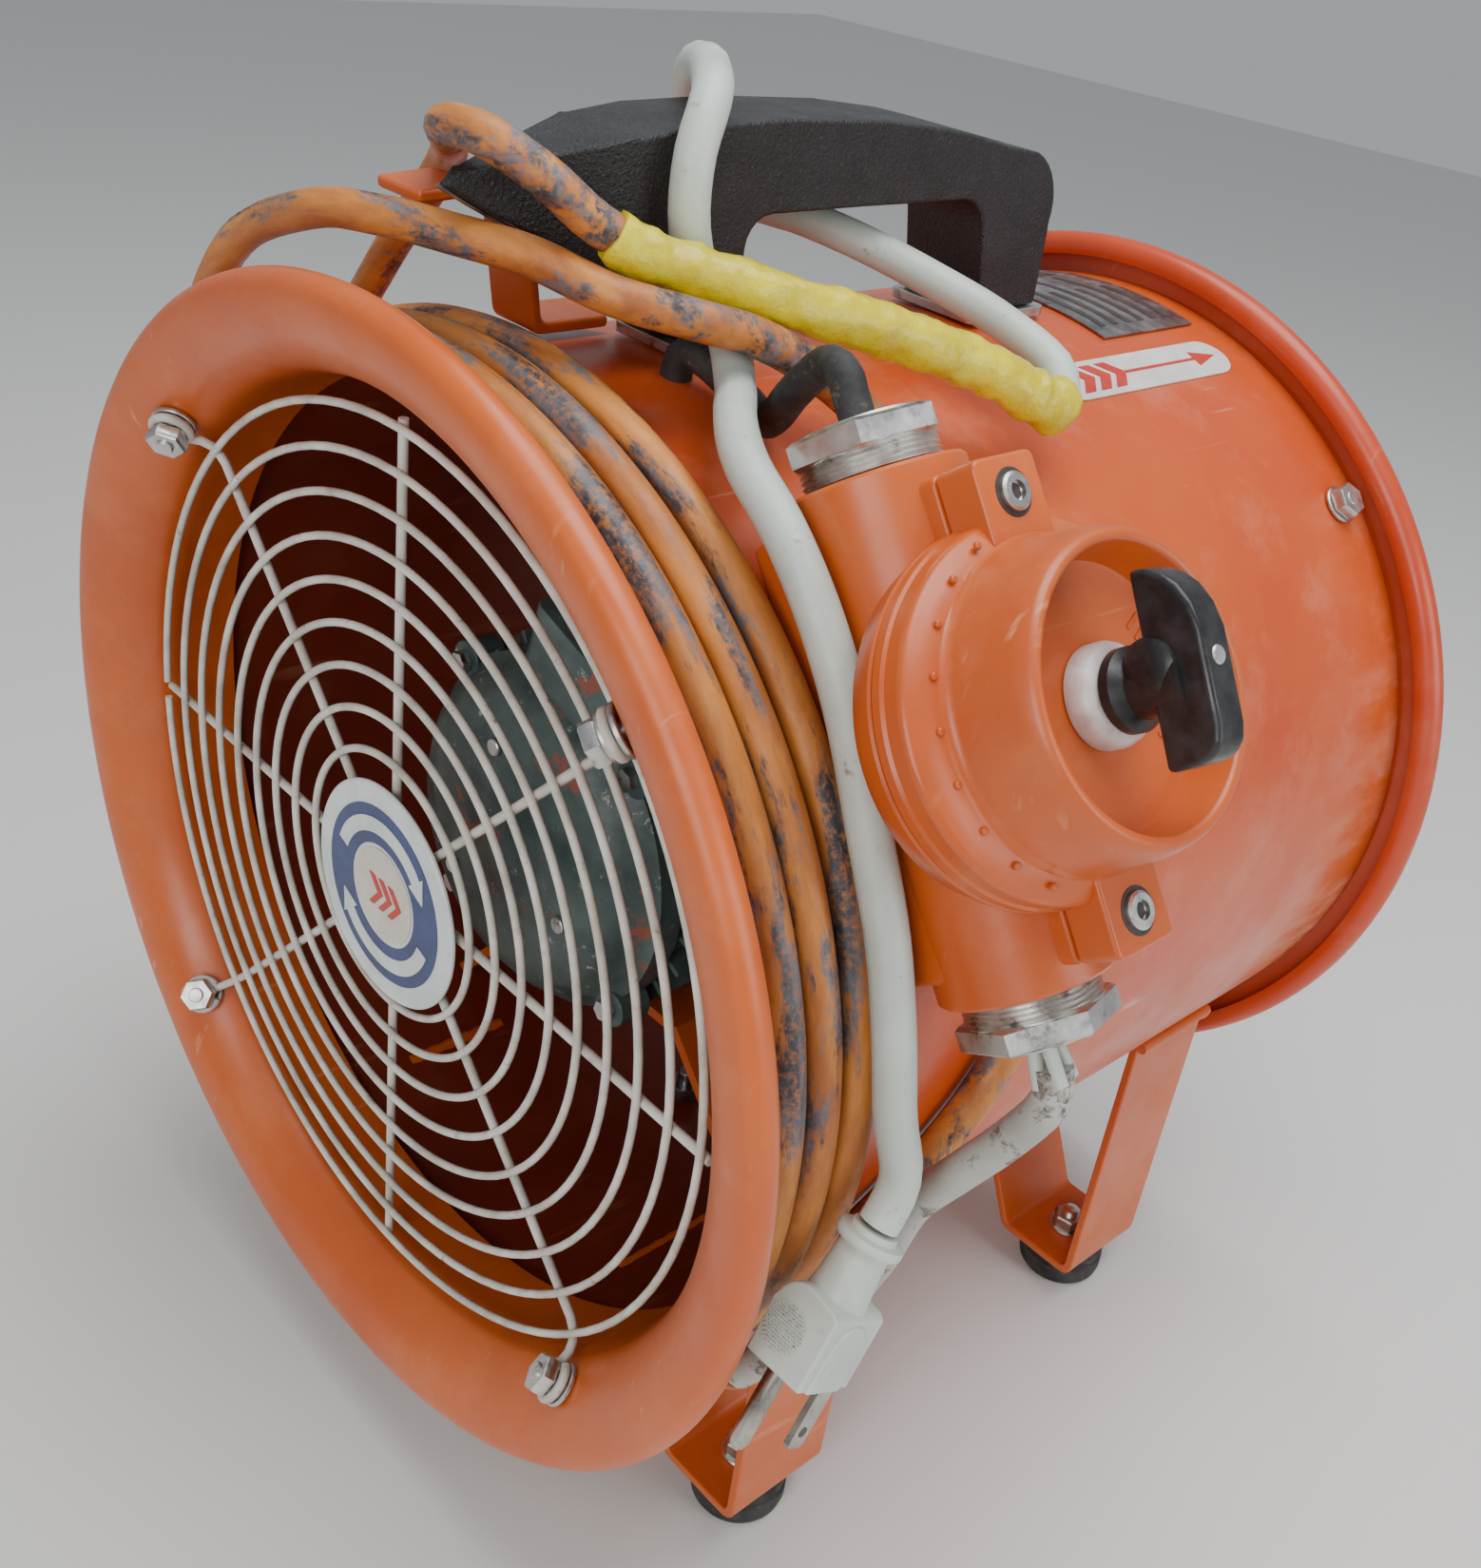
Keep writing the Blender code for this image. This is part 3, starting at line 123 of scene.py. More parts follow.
class Nodes:
    """Short calls for building one material's node tree."""

    def __init__(self, name, roughness=0.5, metallic=0.0, **sockets):
        self.material = bpy.data.materials.new(name)
        self.material.use_nodes = True
        self.tree = self.material.node_tree
        self.shader = self.tree.nodes["Principled BSDF"]
        self.shader.inputs["Roughness"].default_value = roughness
        self.shader.inputs["Metallic"].default_value = metallic
        for key, value in sockets.items():
            self.shader.inputs[key.replace("_", " ")].default_value = value
        self.place = self.tree.nodes.new("ShaderNodeTexCoord").outputs["Object"]

    def link(self, source, target):
        self.tree.links.new(source, target)

    def stretched(self, scale, turn=(0, 0, 0)):
        node = self.tree.nodes.new("ShaderNodeMapping")
        node.inputs["Scale"].default_value = scale
        node.inputs["Rotation"].default_value = [math.radians(a) for a in turn]
        self.link(self.place, node.inputs["Vector"])
        return node.outputs["Vector"]

    def noise(self, scale, detail=4, rough=0.6, vector=None):
        node = self.tree.nodes.new("ShaderNodeTexNoise")
        node.inputs["Scale"].default_value = scale
        node.inputs["Detail"].default_value = detail
        node.inputs["Roughness"].default_value = rough
        self.link(vector or self.place, node.inputs["Vector"])
        return node.outputs["Fac"]

    def ramp(self, value, *stops):
        node = self.tree.nodes.new("ShaderNodeValToRGB")
        elements = node.color_ramp.elements
        while len(elements) < len(stops):
            elements.new(0.5)
        for element, (place, colour) in zip(elements, stops):
            element.position = place
            shade = colour if isinstance(colour, tuple) else (colour, colour, colour)
            element.color = (*shade, 1)
        self.link(value, node.inputs["Fac"])
        return node.outputs["Color"]

    def mix(self, factor, low, high):
        node = self.tree.nodes.new("ShaderNodeMix")
        node.data_type = "RGBA"
        self.link(factor, node.inputs["Factor"])
        for value, socket in ((low, node.inputs["A"]), (high, node.inputs["B"])):
            if isinstance(value, tuple):
                socket.default_value = (*value, 1)
            else:
                self.link(value, socket)
        return node.outputs["Result"]

    def mottled(self, scale, detail, edges, first, second, rough=0.6, vector=None):
        """Two colours in patches of noise; edges is where the first gives way to the second."""
        low, high = edges
        share = self.ramp(self.noise(scale, detail, rough, vector), (low, 0.0), (high, 1.0))
        return self.mix(share, first, second)

    def maths(self, operation, first, second):
        node = self.tree.nodes.new("ShaderNodeMath")
        node.operation = operation
        node.use_clamp = operation in ("MULTIPLY", "ADD", "SUBTRACT")
        for value, socket in zip((first, second), node.inputs):
            if isinstance(value, (int, float)):
                socket.default_value = value
            else:
                self.link(value, socket)
        return node.outputs["Value"]

    def raw(self, operation, first, second):
        """Arithmetic without the clamp."""
        result = self.maths(operation, first, second)
        result.node.use_clamp = False
        return result

    def distance(self):
        """The distance from the fan's axis."""
        x = self.raw("SUBTRACT", self.axis("X"), AXIS.x)
        z = self.raw("SUBTRACT", self.axis("Z"), AXIS.z)
        return self.raw("SQRT", self.raw("ADD", self.raw("MULTIPLY", x, x), self.raw("MULTIPLY", z, z)), 0)

    def axis(self, letter):
        node = self.tree.nodes.new("ShaderNodeSeparateXYZ")
        self.link(self.place, node.inputs["Vector"])
        return node.outputs[letter]

    def span(self, value, low, high):
        """0 at low and 1 at high, clamped."""
        node = self.tree.nodes.new("ShaderNodeMapRange")
        node.inputs["From Min"].default_value = low
        node.inputs["From Max"].default_value = high
        self.link(value, node.inputs["Value"])
        return node.outputs["Result"]

    def colour(self, value):
        self.link(value, self.shader.inputs["Base Color"])

    def roughness(self, value, low, high):
        self.link(self.ramp(value, (0.3, low), (0.7, high)), self.shader.inputs["Roughness"])

    def bump(self, *layers):
        """Layers of (height, strength, distance), each on top of the one before."""
        normal = None
        for height, strength, distance in layers:
            node = self.tree.nodes.new("ShaderNodeBump")
            node.inputs["Strength"].default_value = strength
            node.inputs["Distance"].default_value = distance
            self.link(height, node.inputs["Height"])
            if normal is not None:
                self.link(normal, node.inputs["Normal"])
            normal = node.outputs["Normal"]
        self.link(normal, self.shader.inputs["Normal"])


def paint(name, main, deep, worn, wear=0.60, roughness=(0.28, 0.50), edge_y=None):
    """Enamel with tonal drift, dust, fine scratches and chips; edge_y is where it is rubbed pale."""
    n = Nodes(name, Coat_Weight=0.15, Coat_Roughness=0.25)
    base = n.mottled(9, 5, (0.35, 0.70), deep, main)
    dust = n.ramp(n.noise(38, 8, 0.72), (0.52, 0.0), (0.85, 0.30))
    base = n.mix(dust, base, worn)
    drawn_out = n.stretched((1, 0.05, 0.3), (20, 35, 10))
    scratch = n.ramp(n.noise(300, 2, 0.5, drawn_out), (0.66, 0.0), (0.72, 0.7))
    patch = n.ramp(n.noise(14, 3), (0.50, 0.0), (0.62, 1.0))
    base = n.mix(n.maths("MULTIPLY", scratch, patch), base, worn)
    chip = n.ramp(n.noise(120, 6, 0.7), (wear + 0.10, 0.0), (wear + 0.13, 1.0))
    chip = n.maths("MULTIPLY", chip, n.ramp(n.noise(17, 2), (0.52, 0.0), (0.60, 1.0)))
    base = n.mix(chip, base, (0.10, 0.045, 0.03))
    if edge_y is not None:
        low, high = edge_y
        toward_edge = n.span(n.axis("Y"), low, high)
        low_down = n.span(n.axis("Z"), AXIS.z + 0.10, AXIS.z - 0.06)
        near = n.maths("MULTIPLY", toward_edge, low_down)
        ragged = n.ramp(n.noise(55, 6, 0.7, n.stretched((1, 0.3, 1))), (0.46, 0.0), (0.66, 1.0))
        base = n.mix(n.maths("MULTIPLY", near, ragged), base, worn)
    n.colour(base)
    n.roughness(n.noise(45, 5), *roughness)
    n.bump((n.noise(16, 3), 0.10, 0.002), (n.noise(900, 2), 0.05, 0.0003), (chip, 0.25, 0.0004))
    return n.material


def metal(name, light, dark, roughness=(0.25, 0.5), stain=(0.12, 0.09, 0.06)):
    n = Nodes(name, metallic=1.0)
    base = n.mottled(60, 5, (0.35, 0.65), dark, light)
    grime = n.ramp(n.noise(160, 6, 0.7), (0.56, 0.0), (0.70, 0.8))
    n.colour(n.mix(grime, base, stain))
    n.roughness(n.noise(220, 4), *roughness)
    n.bump((n.noise(700, 3), 0.12, 0.0003))
    return n.material


def wire_coating():
    n = Nodes("guard_wire", 0.42)
    base = n.mottled(70, 5, (0.35, 0.65), (0.46, 0.42, 0.36), (0.72, 0.69, 0.63))
    grime = n.ramp(n.noise(130, 7, 0.75), (0.60, 0.0), (0.70, 0.85))
    n.colour(n.mix(grime, base, (0.13, 0.085, 0.055)))
    n.roughness(n.noise(200, 3), 0.35, 0.6)
    n.bump((n.noise(800, 3), 0.2, 0.0003))
    return n.material


def moulded_black():
    n = Nodes("black_plastic", 0.5)
    grain = n.noise(950, 3, 0.7)
    base = n.mottled(60, 6, (0.40, 0.75), (0.006, 0.006, 0.007), (0.016, 0.016, 0.018))
    dust = n.ramp(n.noise(1100, 5, 0.8), (0.56, 0.0), (0.68, 0.45))
    n.colour(n.mix(dust, base, (0.10, 0.10, 0.11)))
    n.roughness(n.noise(90, 4), 0.30, 0.52)
    n.bump((grain, 0.75, 0.0010), (n.noise(45, 3), 0.08, 0.002))
    return n.material


def smooth_black():
    n = Nodes("knob_plastic", 0.32)
    base = n.mottled(150, 6, (0.40, 0.75), (0.010, 0.010, 0.011), (0.035, 0.035, 0.036))
    n.colour(base)
    n.roughness(n.noise(200, 5), 0.24, 0.46)
    n.bump((n.noise(1200, 2), 0.08, 0.0003))
    return n.material


def nylon():
    n = Nodes("nylon", 0.38, Subsurface_Weight=0.15)
    base = n.mottled(120, 5, (0.40, 0.65), (0.50, 0.40, 0.38), (0.74, 0.67, 0.65))
    n.colour(base)
    n.bump((n.noise(500, 3), 0.1, 0.0003))
    return n.material


def motor_enamel():
    n = Nodes("green_grey_paint", 0.45)
    base = n.mottled(50, 5, (0.35, 0.7), (0.035, 0.060, 0.058), (0.105, 0.150, 0.140))
    smear = n.ramp(n.noise(48, 6, 0.7), (0.60, 0.0), (0.64, 0.85))
    base = n.mix(smear, base, (0.33, 0.08, 0.04))
    n.colour(n.mix(n.ramp(n.noise(190, 7, 0.75), (0.62, 0.0), (0.66, 0.9)), base, (0.42, 0.42, 0.38)))
    n.roughness(n.noise(70, 4), 0.35, 0.6)
    n.bump((n.noise(420, 2), 0.25, 0.0006))
    return n.material


def rubber(name, dark, light):
    n = Nodes(name, 0.7)
    base = n.mottled(90, 6, (0.35, 0.75), dark, light)
    n.colour(n.mix(n.ramp(n.noise(300, 6, 0.7), (0.58, 0.0), (0.68, 0.5)), base, (0.20, 0.17, 0.14)))
    n.roughness(n.noise(140, 4), 0.55, 0.85)
    n.bump((n.noise(500, 5), 0.3, 0.0005))
    return n.material


def cable_jacket(name, light, dark, stain, cover=0.50, fine=60, roughness=(0.40, 0.68)):
    """A cable jacket with its stain in patches of noise."""
    n = Nodes(name, 0.5)
    base = n.mottled(45, 6, (0.35, 0.65), dark, light)
    smear = n.ramp(n.noise(fine, 8, 0.72), (cover, 0.0), (cover + 0.06, 1.0))
    grit = n.ramp(n.noise(420, 6, 0.75), (0.36, 0.25), (0.56, 1.0))
    n.colour(n.mix(n.maths("MULTIPLY", smear, grit), base, stain))
    n.roughness(n.noise(160, 4), *roughness)
    n.bump((n.noise(260, 6, 0.7), 0.28, 0.0006), (n.noise(60, 3), 0.15, 0.0012))
    return n.material


STREAK_STRETCH = 0.035


def wound_jacket():
    """Orange cable whose blue-grey grime lies in long streaks, the way the turns run."""
    n = Nodes("orange_cable", 0.5)
    height = n.raw("SUBTRACT", n.axis("Z"), AXIS.z)
    side = n.raw("SUBTRACT", n.axis("X"), AXIS.x)
    turn = n.maths("ARCTAN2", height, side)
    node = n.tree.nodes.new("ShaderNodeCombineXYZ")
    n.link(n.raw("MULTIPLY", turn, STREAK_STRETCH), node.inputs["X"])
    n.link(n.axis("Y"), node.inputs["Y"])
    n.link(n.distance(), node.inputs["Z"])
    flow = node.outputs["Vector"]
    base = n.mottled(120, 6, (0.36, 0.64), (0.36, 0.105, 0.022), (0.62, 0.235, 0.045), 0.65, flow)
    streak = n.ramp(n.noise(85, 7, 0.70, flow), (0.49, 0.0), (0.55, 1.0))
    grit = n.ramp(n.noise(520, 6, 0.75), (0.34, 0.2), (0.54, 1.0))
    shade = n.mottled(160, 5, (0.40, 0.62), (0.030, 0.034, 0.044), (0.15, 0.16, 0.18), 0.6, flow)
    n.colour(n.mix(n.maths("MULTIPLY", streak, grit), base, shade))
    n.roughness(n.noise(160, 4), 0.38, 0.66)
    n.bump((n.noise(300, 6, 0.7), 0.3, 0.0006), (n.noise(70, 3, 0.5, flow), 0.2, 0.0012))
    return n.material


def tape_film():
    n = Nodes("yellow_tape", 0.30, Coat_Weight=0.25, Coat_Roughness=0.2)
    base = n.mottled(60, 5, (0.35, 0.65), (0.56, 0.45, 0.0), (0.78, 0.66, 0.0))
    n.colour(n.mix(n.ramp(n.noise(150, 7, 0.75), (0.63, 0.0), (0.72, 0.6)), base, (0.30, 0.24, 0.03)))
    n.roughness(n.noise(120, 4), 0.22, 0.42)
    n.bump((n.noise(190, 5), 0.6, 0.0016))
    return n.material


def plain(name, colour, second, roughness=0.5, metallic=0.0, scale=90, bump=0.1):
    n = Nodes(name, roughness, metallic)
    n.colour(n.mottled(scale, 6, (0.38, 0.68), second, colour, 0.65))
    n.bump((n.noise(600, 3), bump, 0.0003))
    return n.material


ORANGE = (0.62, 0.122, 0.016)
ORANGE_DEEP = (0.50, 0.080, 0.009)
ORANGE_PALE = (0.70, 0.27, 0.12)
MATERIALS = {
    "orange_paint": paint("orange_paint", ORANGE, ORANGE_DEEP, ORANGE_PALE),
    "drum_paint": paint("drum_paint", (0.62, 0.105, 0.016), (0.54, 0.062, 0.010), (0.74, 0.40, 0.28), 0.60,
                        (0.25, 0.45), (AXIS.y + 0.240, AXIS.y + 0.310)),
    # The duct's inside: the drum's red paint darkened to maroon, painted shade for the unlit inside of the
    # drum
    "duct_painted_shade": paint("duct_painted_shade", (0.20, 0.026, 0.009), (0.12, 0.014, 0.006), (0.26, 0.08, 0.04)),
    "red_paint": paint("red_paint", (0.58, 0.060, 0.010), (0.46, 0.040, 0.008), (0.70, 0.24, 0.14)),
    "zinc": metal("zinc", (0.72, 0.72, 0.69), (0.48, 0.48, 0.46)),
    "steel": metal("steel", (0.42, 0.42, 0.42), (0.20, 0.20, 0.21), (0.22, 0.4)),
    "guard_wire": wire_coating(),
    "black_plastic": moulded_black(),
    "knob_plastic": smooth_black(),
    "nylon": nylon(),
    "green_grey_paint": motor_enamel(),
    "black_rubber": rubber("black_rubber", (0.012, 0.012, 0.013), (0.060, 0.057, 0.055)),
    "copper": plain("copper", (0.62, 0.26, 0.12), (0.36, 0.13, 0.06), 0.4, 1.0),
    "badge_print": plain("badge_print", (0.74, 0.78, 0.76), (0.60, 0.64, 0.63), 0.35),
    "badge_navy": plain("badge_navy", (0.035, 0.060, 0.20), (0.025, 0.040, 0.12), 0.35),
    "badge_cream": plain("badge_cream", (0.72, 0.69, 0.60), (0.60, 0.55, 0.46), 0.35),
    "mark_red": plain("mark_red", (0.60, 0.035, 0.025), (0.48, 0.025, 0.02), 0.35),
    # Dark print on the rating plate; the same dark is painted shade in the plug's pin holes and in the cover
    # screws' recesses and sockets
    "mark_dark": plain("mark_dark", (0.06, 0.045, 0.04), (0.03, 0.025, 0.025), 0.5),
    "label_film": plain("label_film", (0.74, 0.72, 0.68), (0.60, 0.56, 0.52), 0.35),
    # Grey metal of the rating plate; the same grey is the painted highlight along the grip's front edge
    "plate_metal": metal("plate_metal", (0.46, 0.46, 0.45), (0.20, 0.20, 0.20), (0.3, 0.5),
                         (0.10, 0.06, 0.04)),
    "orange_cable": wound_jacket(),
    "grey_cable": cable_jacket("grey_cable", (0.50, 0.50, 0.46), (0.36, 0.35, 0.32), (0.12, 0.09, 0.07),
                               0.53, 90),
    "white_cable": cable_jacket("white_cable", (0.56, 0.61, 0.56), (0.47, 0.52, 0.47), (0.26, 0.24, 0.20),
                                0.62, 120, (0.32, 0.52)),
    "yellow_tape": tape_film(),
    "brass": metal("brass", (0.50, 0.47, 0.42), (0.26, 0.24, 0.21), (0.2, 0.4)),
}


# ---------------------------------------------------------------- mesh building

def add_revolve(bm, profile, matrix, segments=96, closed=True, material=0):
    """Turn (radius, height) points about local Z; an open profile may end on the axis."""
    rings = []
    for radius, height in profile:
        if radius < 1e-6:
            rings.append([bm.verts.new(matrix @ Vector((0, 0, height)))] * segments)
            continue
        turns = [2 * math.pi * k / segments for k in range(segments)]
        rings.append([bm.verts.new(matrix @ Vector((radius * math.cos(t), radius * math.sin(t), height)))
                      for t in turns])
    pairs = list(zip(rings, rings[1:] + rings[:1])) if closed else list(zip(rings, rings[1:]))
    for first, second in pairs:
        for k in range(segments):
            after = (k + 1) % segments
            corners = list(dict.fromkeys((first[k], first[after], second[after], second[k])))
            if len(corners) > 2:
                bm.faces.new(corners).material_index = material


def add_prism(bm, outline, low, high, matrix, material=0):
    """An outline in local XY, extruded along local Z."""
    bottom = [bm.verts.new(matrix @ Vector((x, y, low))) for x, y in outline]
    top = [bm.verts.new(matrix @ Vector((x, y, high))) for x, y in outline]
    bm.faces.new(bottom[::-1]).material_index = material
    bm.faces.new(top).material_index = material
    for k in range(len(outline)):
        after = (k + 1) % len(outline)
        bm.faces.new((bottom[k], bottom[after], top[after], top[k])).material_index = material


def add_box(bm, low, high, matrix, material=0):
    outline = [(low[0], low[1]), (high[0], low[1]), (high[0], high[1]), (low[0], high[1])]
    add_prism(bm, outline, low[2], high[2], matrix, material)


def add_tube(bm, points, radius, sides=12, closed=False, material=0):
    """A round bar along points; radius may be a number or one number for each point."""
    points = [Vector(p) for p in points]
    count = len(points)
    radii = [radius] * count if isinstance(radius, (int, float)) else radius
    normal = None
    rings = []
    for k, point in enumerate(points):
        before = points[(k - 1) % count] if closed or k else point
        after = points[(k + 1) % count] if closed or k < count - 1 else point
        along = (after - before).normalized()
        if normal is None:
            normal = along.orthogonal().normalized()
        normal = (normal - along * normal.dot(along)).normalized()
        side = along.cross(normal)
        turns = [2 * math.pi * s / sides for s in range(sides)]
        rings.append([bm.verts.new(point + (normal * math.cos(t) + side * math.sin(t)) * radii[k])
                      for t in turns])
    pairs = list(zip(rings, rings[1:]))
    if closed:
        pairs.append((rings[-1], rings[0]))
    for number, (first, second) in enumerate(pairs):
        shift = 0
        if closed and number == count - 1:
            shift = min(range(sides), key=lambda s: (first[0].co - second[s].co).length)
        for s in range(sides):
            t = (s + 1) % sides
            quad = (first[s], first[t], second[(t + shift) % sides], second[(s + shift) % sides])
            bm.faces.new(quad).material_index = material
    if not closed:
        bm.faces.new(rings[0][::-1]).material_index = material
        bm.faces.new(rings[-1]).material_index = material


def add_piece(name, bm, materials, stands_for=(), body="housing", bevel=0, angle=38):
    """Make the object, ride it on its body and hide the CAD nodes it stands for."""
    bmesh.ops.recalc_face_normals(bm, faces=bm.faces)
    mesh = bpy.data.meshes.new(name)
    bm.to_mesh(mesh)
    bm.free()
    mesh.shade_smooth()
    for key in ([materials] if isinstance(materials, str) else materials):
        mesh.materials.append(MATERIALS[key])
    item = bpy.data.objects.new(name, mesh)
    bpy.context.scene.collection.objects.link(item)
    if bevel:
        edge = item.modifiers.new("edges", "BEVEL")
        edge.width = bevel
        edge.segments = 3
        edge.limit_method = "ANGLE"
        edge.angle_limit = math.radians(angle)
        edge.harden_normals = True
    else:
        mesh.set_sharp_from_angle(angle=math.radians(angle))
    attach(item, body)
    if stands_for:
        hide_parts(*stands_for)
    return item


def arc(centre, radius, start, end, count):
    turns = [math.radians(start + (end - start) * k / (count - 1)) for k in range(count)]
    return [(centre[0] + radius * math.cos(t), centre[1] + radius * math.sin(t)) for t in turns]


def rounded(outline, radius, count=5):
    """Round each corner of a closed outline; radius may be one number for each corner."""
    size = len(outline)
    radii = [radius] * size if isinstance(radius, (int, float)) else radius
    result = []
    for k in range(size):
        before, corner, after = (Vector(outline[(k + s) % size]) for s in (-1, 0, 1))
        if radii[k] == 0:
            result.append(tuple(corner))
            continue
        back, ahead = (before - corner).normalized(), (after - corner).normalized()
        half = back.angle(ahead) / 2
        shorter = min((before - corner).length, (after - corner).length)
        reach = min(radii[k] / math.tan(half), shorter * 0.49)
        first, last = corner + back * reach, corner + ahead * reach
        for step in range(count):
            t = step / (count - 1)
            result.append(tuple(first.lerp(corner, t).lerp(corner.lerp(last, t), t)))
    return result


def polar(radius, angle):
    turn = math.radians(angle)
    return radius * math.cos(turn), radius * math.sin(turn)


def rectangle(half_x, half_y):
    return [(-half_x, -half_y), (half_x, -half_y), (half_x, half_y), (-half_x, half_y)]


def ray(angle, radius, y):
    """A point at an angle round the fan's axis, from +X toward +Z."""
    turn = math.radians(angle)
    return Vector((radius * math.cos(turn), y, radius * math.sin(turn)))


def radial(angle, y, radius, tilt=0):
    """A frame whose Z points away from the axis, tilted toward the rear in degrees."""
    return (FAN @ Matrix.Translation(ray(angle, radius, y)) @ Matrix.Rotation(math.radians(-angle), 4, "Y")
            @ Matrix.Rotation(math.radians(90), 4, "Y") @ Matrix.Rotation(math.radians(-tilt), 4, "X"))


def smooth_route(points, spacing):
    """Evenly spaced points on a Catmull-Rom curve through the given points."""
    knots = [Vector(p) for p in points]
    knots = [knots[0] * 2 - knots[1], *knots, knots[-1] * 2 - knots[-2]]
    fine = []
    for a, b, c, d in zip(knots, knots[1:], knots[2:], knots[3:]):
        for k in range(24):
            t = k / 24
            fine.append(0.5 * (2 * b + (c - a) * t + (2 * a - 5 * b + 4 * c - d) * t ** 2
                               + (3 * b - a - 3 * c + d) * t ** 3))
    fine.append(knots[-2])
    route = [fine[0]]
    for point in fine[1:-1]:
        if (point - route[-1]).length >= spacing:
            route.append(point)
    route.append(fine[-1])
    return route


# ---------------------------------------------------------------- cables

CORD = 0.0095
LEAD_ROUTE = [(0.0720, 0.0780, 0.1570), (0.0610, 0.0810, 0.1470), (0.0500, 0.0850, 0.1360),
              (0.0400, 0.0865, 0.1378), (0.0290, 0.0860, 0.1420), (0.0200, 0.0845, 0.1440),
              (0.0172, 0.0840, 0.1380), (0.0172, 0.0838, 0.1290), (0.0195, 0.0790, 0.1200),
              (0.0270, 0.0700, 0.1100), (0.0324, 0.0662, 0.0999), (0.0294, 0.0660, 0.0904),
              (0.0256, 0.0660, 0.0789)]
SUPPLY_ROUTE = [(0.1755, 0.0735, 0.0230), (0.1690, 0.0715, 0.0080), (0.1600, 0.0690, -0.0080),
                (0.1515, 0.0660, -0.0240), (0.1475, 0.0625, -0.0430), (0.1420, 0.0560, -0.0620),
                (0.1345, 0.0500, -0.0780), (0.1235, 0.0460, -0.0950)]
# The wound turns, as (degrees, radius, y) with the degrees running down over three turns
FIRST_LAYER = [(-37.6, 0.1558, 0.0460), (-60, 0.1540, 0.0440), (-90, 0.1530, 0.0400), (-120, 0.1530, 0.0360),
               (-150, 0.1530, 0.0315), (-180, 0.1520, 0.0280), (-205, 0.1490, 0.0255),
               (-225, 0.1455, 0.0245), (-240, 0.1433, 0.0245)]
LAST_CLIMB = [(-1130, 0.1434, 0.0472), (-1145, 0.1440, 0.0478), (-1170, 0.1465, 0.0500),
              (-1200, 0.1512, 0.0515), (-1230, 0.1535, 0.0480), (-1255, 0.1555, 0.0420),
              (-1275, 0.1568, 0.0365)]
TURN_CENTRE = 0.1433
TURN_Y = (0.0245, 0.0355, 0.0470)
OVER_ROUTE = [(-0.1340, 0.0330, 0.0830), (-0.1200, 0.0270, 0.1160), (-0.0870, 0.0220, 0.1480),
              (-0.0480, 0.0210, 0.1650), (-0.0240, 0.0250, 0.1690), (-0.0040, 0.0325, 0.1690),
              (0.0140, 0.0405, 0.1680), (0.0310, 0.0500, 0.1635), (0.0430, 0.0640, 0.1602),
              (0.0490, 0.0780, 0.1566), (0.0530, 0.0920, 0.1495), (0.0600, 0.1050, 0.1395),
              (0.0740, 0.1140, 0.1250), (0.0910, 0.1195, 0.1105), (0.1110, 0.1210, 0.0905),
              (0.1255, 0.1195, 0.0695), (0.1370, 0.1160, 0.0420), (0.1423, 0.1100, 0.0155),
              (0.1430, 0.0990, -0.0060), (0.1410, 0.0850, -0.0250), (0.1368, 0.0715, -0.0425),
              (0.1310, 0.0610, -0.0580), (0.1274, 0.0577, -0.0655)]
UNDER_WRAP = [(-45, 0.1433, 0.0568), (-70, 0.1433, 0.0566), (-100, 0.1433, 0.0566), (-130, 0.1433, 0.0566),
              (-160, 0.1433, 0.0566), (-185, 0.1433, 0.0570)]
RISE_ROUTE = [(-0.1290, 0.0577, 0.0620), (-0.1110, 0.0600, 0.1000), (-0.0850, 0.0640, 0.1400),
              (-0.0550, 0.0620, 0.1710), (-0.0400, 0.0545, 0.1810), (-0.0250, 0.0440, 0.1860),
              (-0.0090, 0.0325, 0.1915), (0.0060, 0.0320, 0.1925), (0.0170, 0.0405, 0.1860),
              (0.0250, 0.0510, 0.1765), (0.0330, 0.0660, 0.1695)]
TAPE_ROUTE = [(0.0262, 0.0530, 0.1752), (0.0300, 0.0600, 0.1710), (0.0440, 0.0850, 0.1640),
              (0.0560, 0.1150, 0.1560), (0.0650, 0.1450, 0.1460), (0.0700, 0.1600, 0.1385),
              (0.0740, 0.1690, 0.1350)]
PIGTAIL_ROUTE = [(0.0730, 0.1680, 0.1372), (0.0640, 0.1730, 0.1440), (0.0460, 0.1700, 0.1510),
                 (0.0280, 0.1650, 0.1560),
                 (0.0080, 0.1570, 0.1615), (-0.0090, 0.1480, 0.1655), (-0.0215, 0.1380, 0.1685),
                 (-0.0280, 0.1290, 0.1795), (-0.0275, 0.1200, 0.1925), (-0.0190, 0.1125, 0.2020),
                 (-0.0040, 0.1030, 0.2050), (0.0090, 0.0930, 0.2050), (0.0185, 0.0850, 0.2015),
                 (0.0227, 0.0780, 0.1900), (0.0232, 0.0780, 0.1750), (0.0240, 0.0830, 0.1610),
                 (0.0330, 0.0840, 0.1530), (0.0480, 0.0750, 0.1445), (0.0590, 0.0650, 0.1440),
                 (0.0700, 0.0560, 0.1430), (0.0810, 0.0500, 0.1400), (0.0940, 0.0475, 0.1340),
                 (0.1060, 0.0465, 0.1240), (0.1160, 0.0465, 0.1115), (0.1240, 0.0465, 0.0985),
                 (0.1340, 0.0462, 0.0785), (0.1435, 0.0460, 0.0590), (0.1502, 0.0458, 0.0390),
                 (0.1546, 0.0470, 0.0165), (0.1570, 0.0500, 0.0020), (0.1579, 0.0485, -0.0056),
                 (0.1580, 0.0447, -0.0118)]
PLUG_TOP = Vector((0.1580, 0.0440, -0.0130))
PLUG_AXIS = Vector((0.010, -0.500, -0.820)).normalized()
BLADE_X = 0.00635
BLADE_HALF_THICKNESS = 0.0008


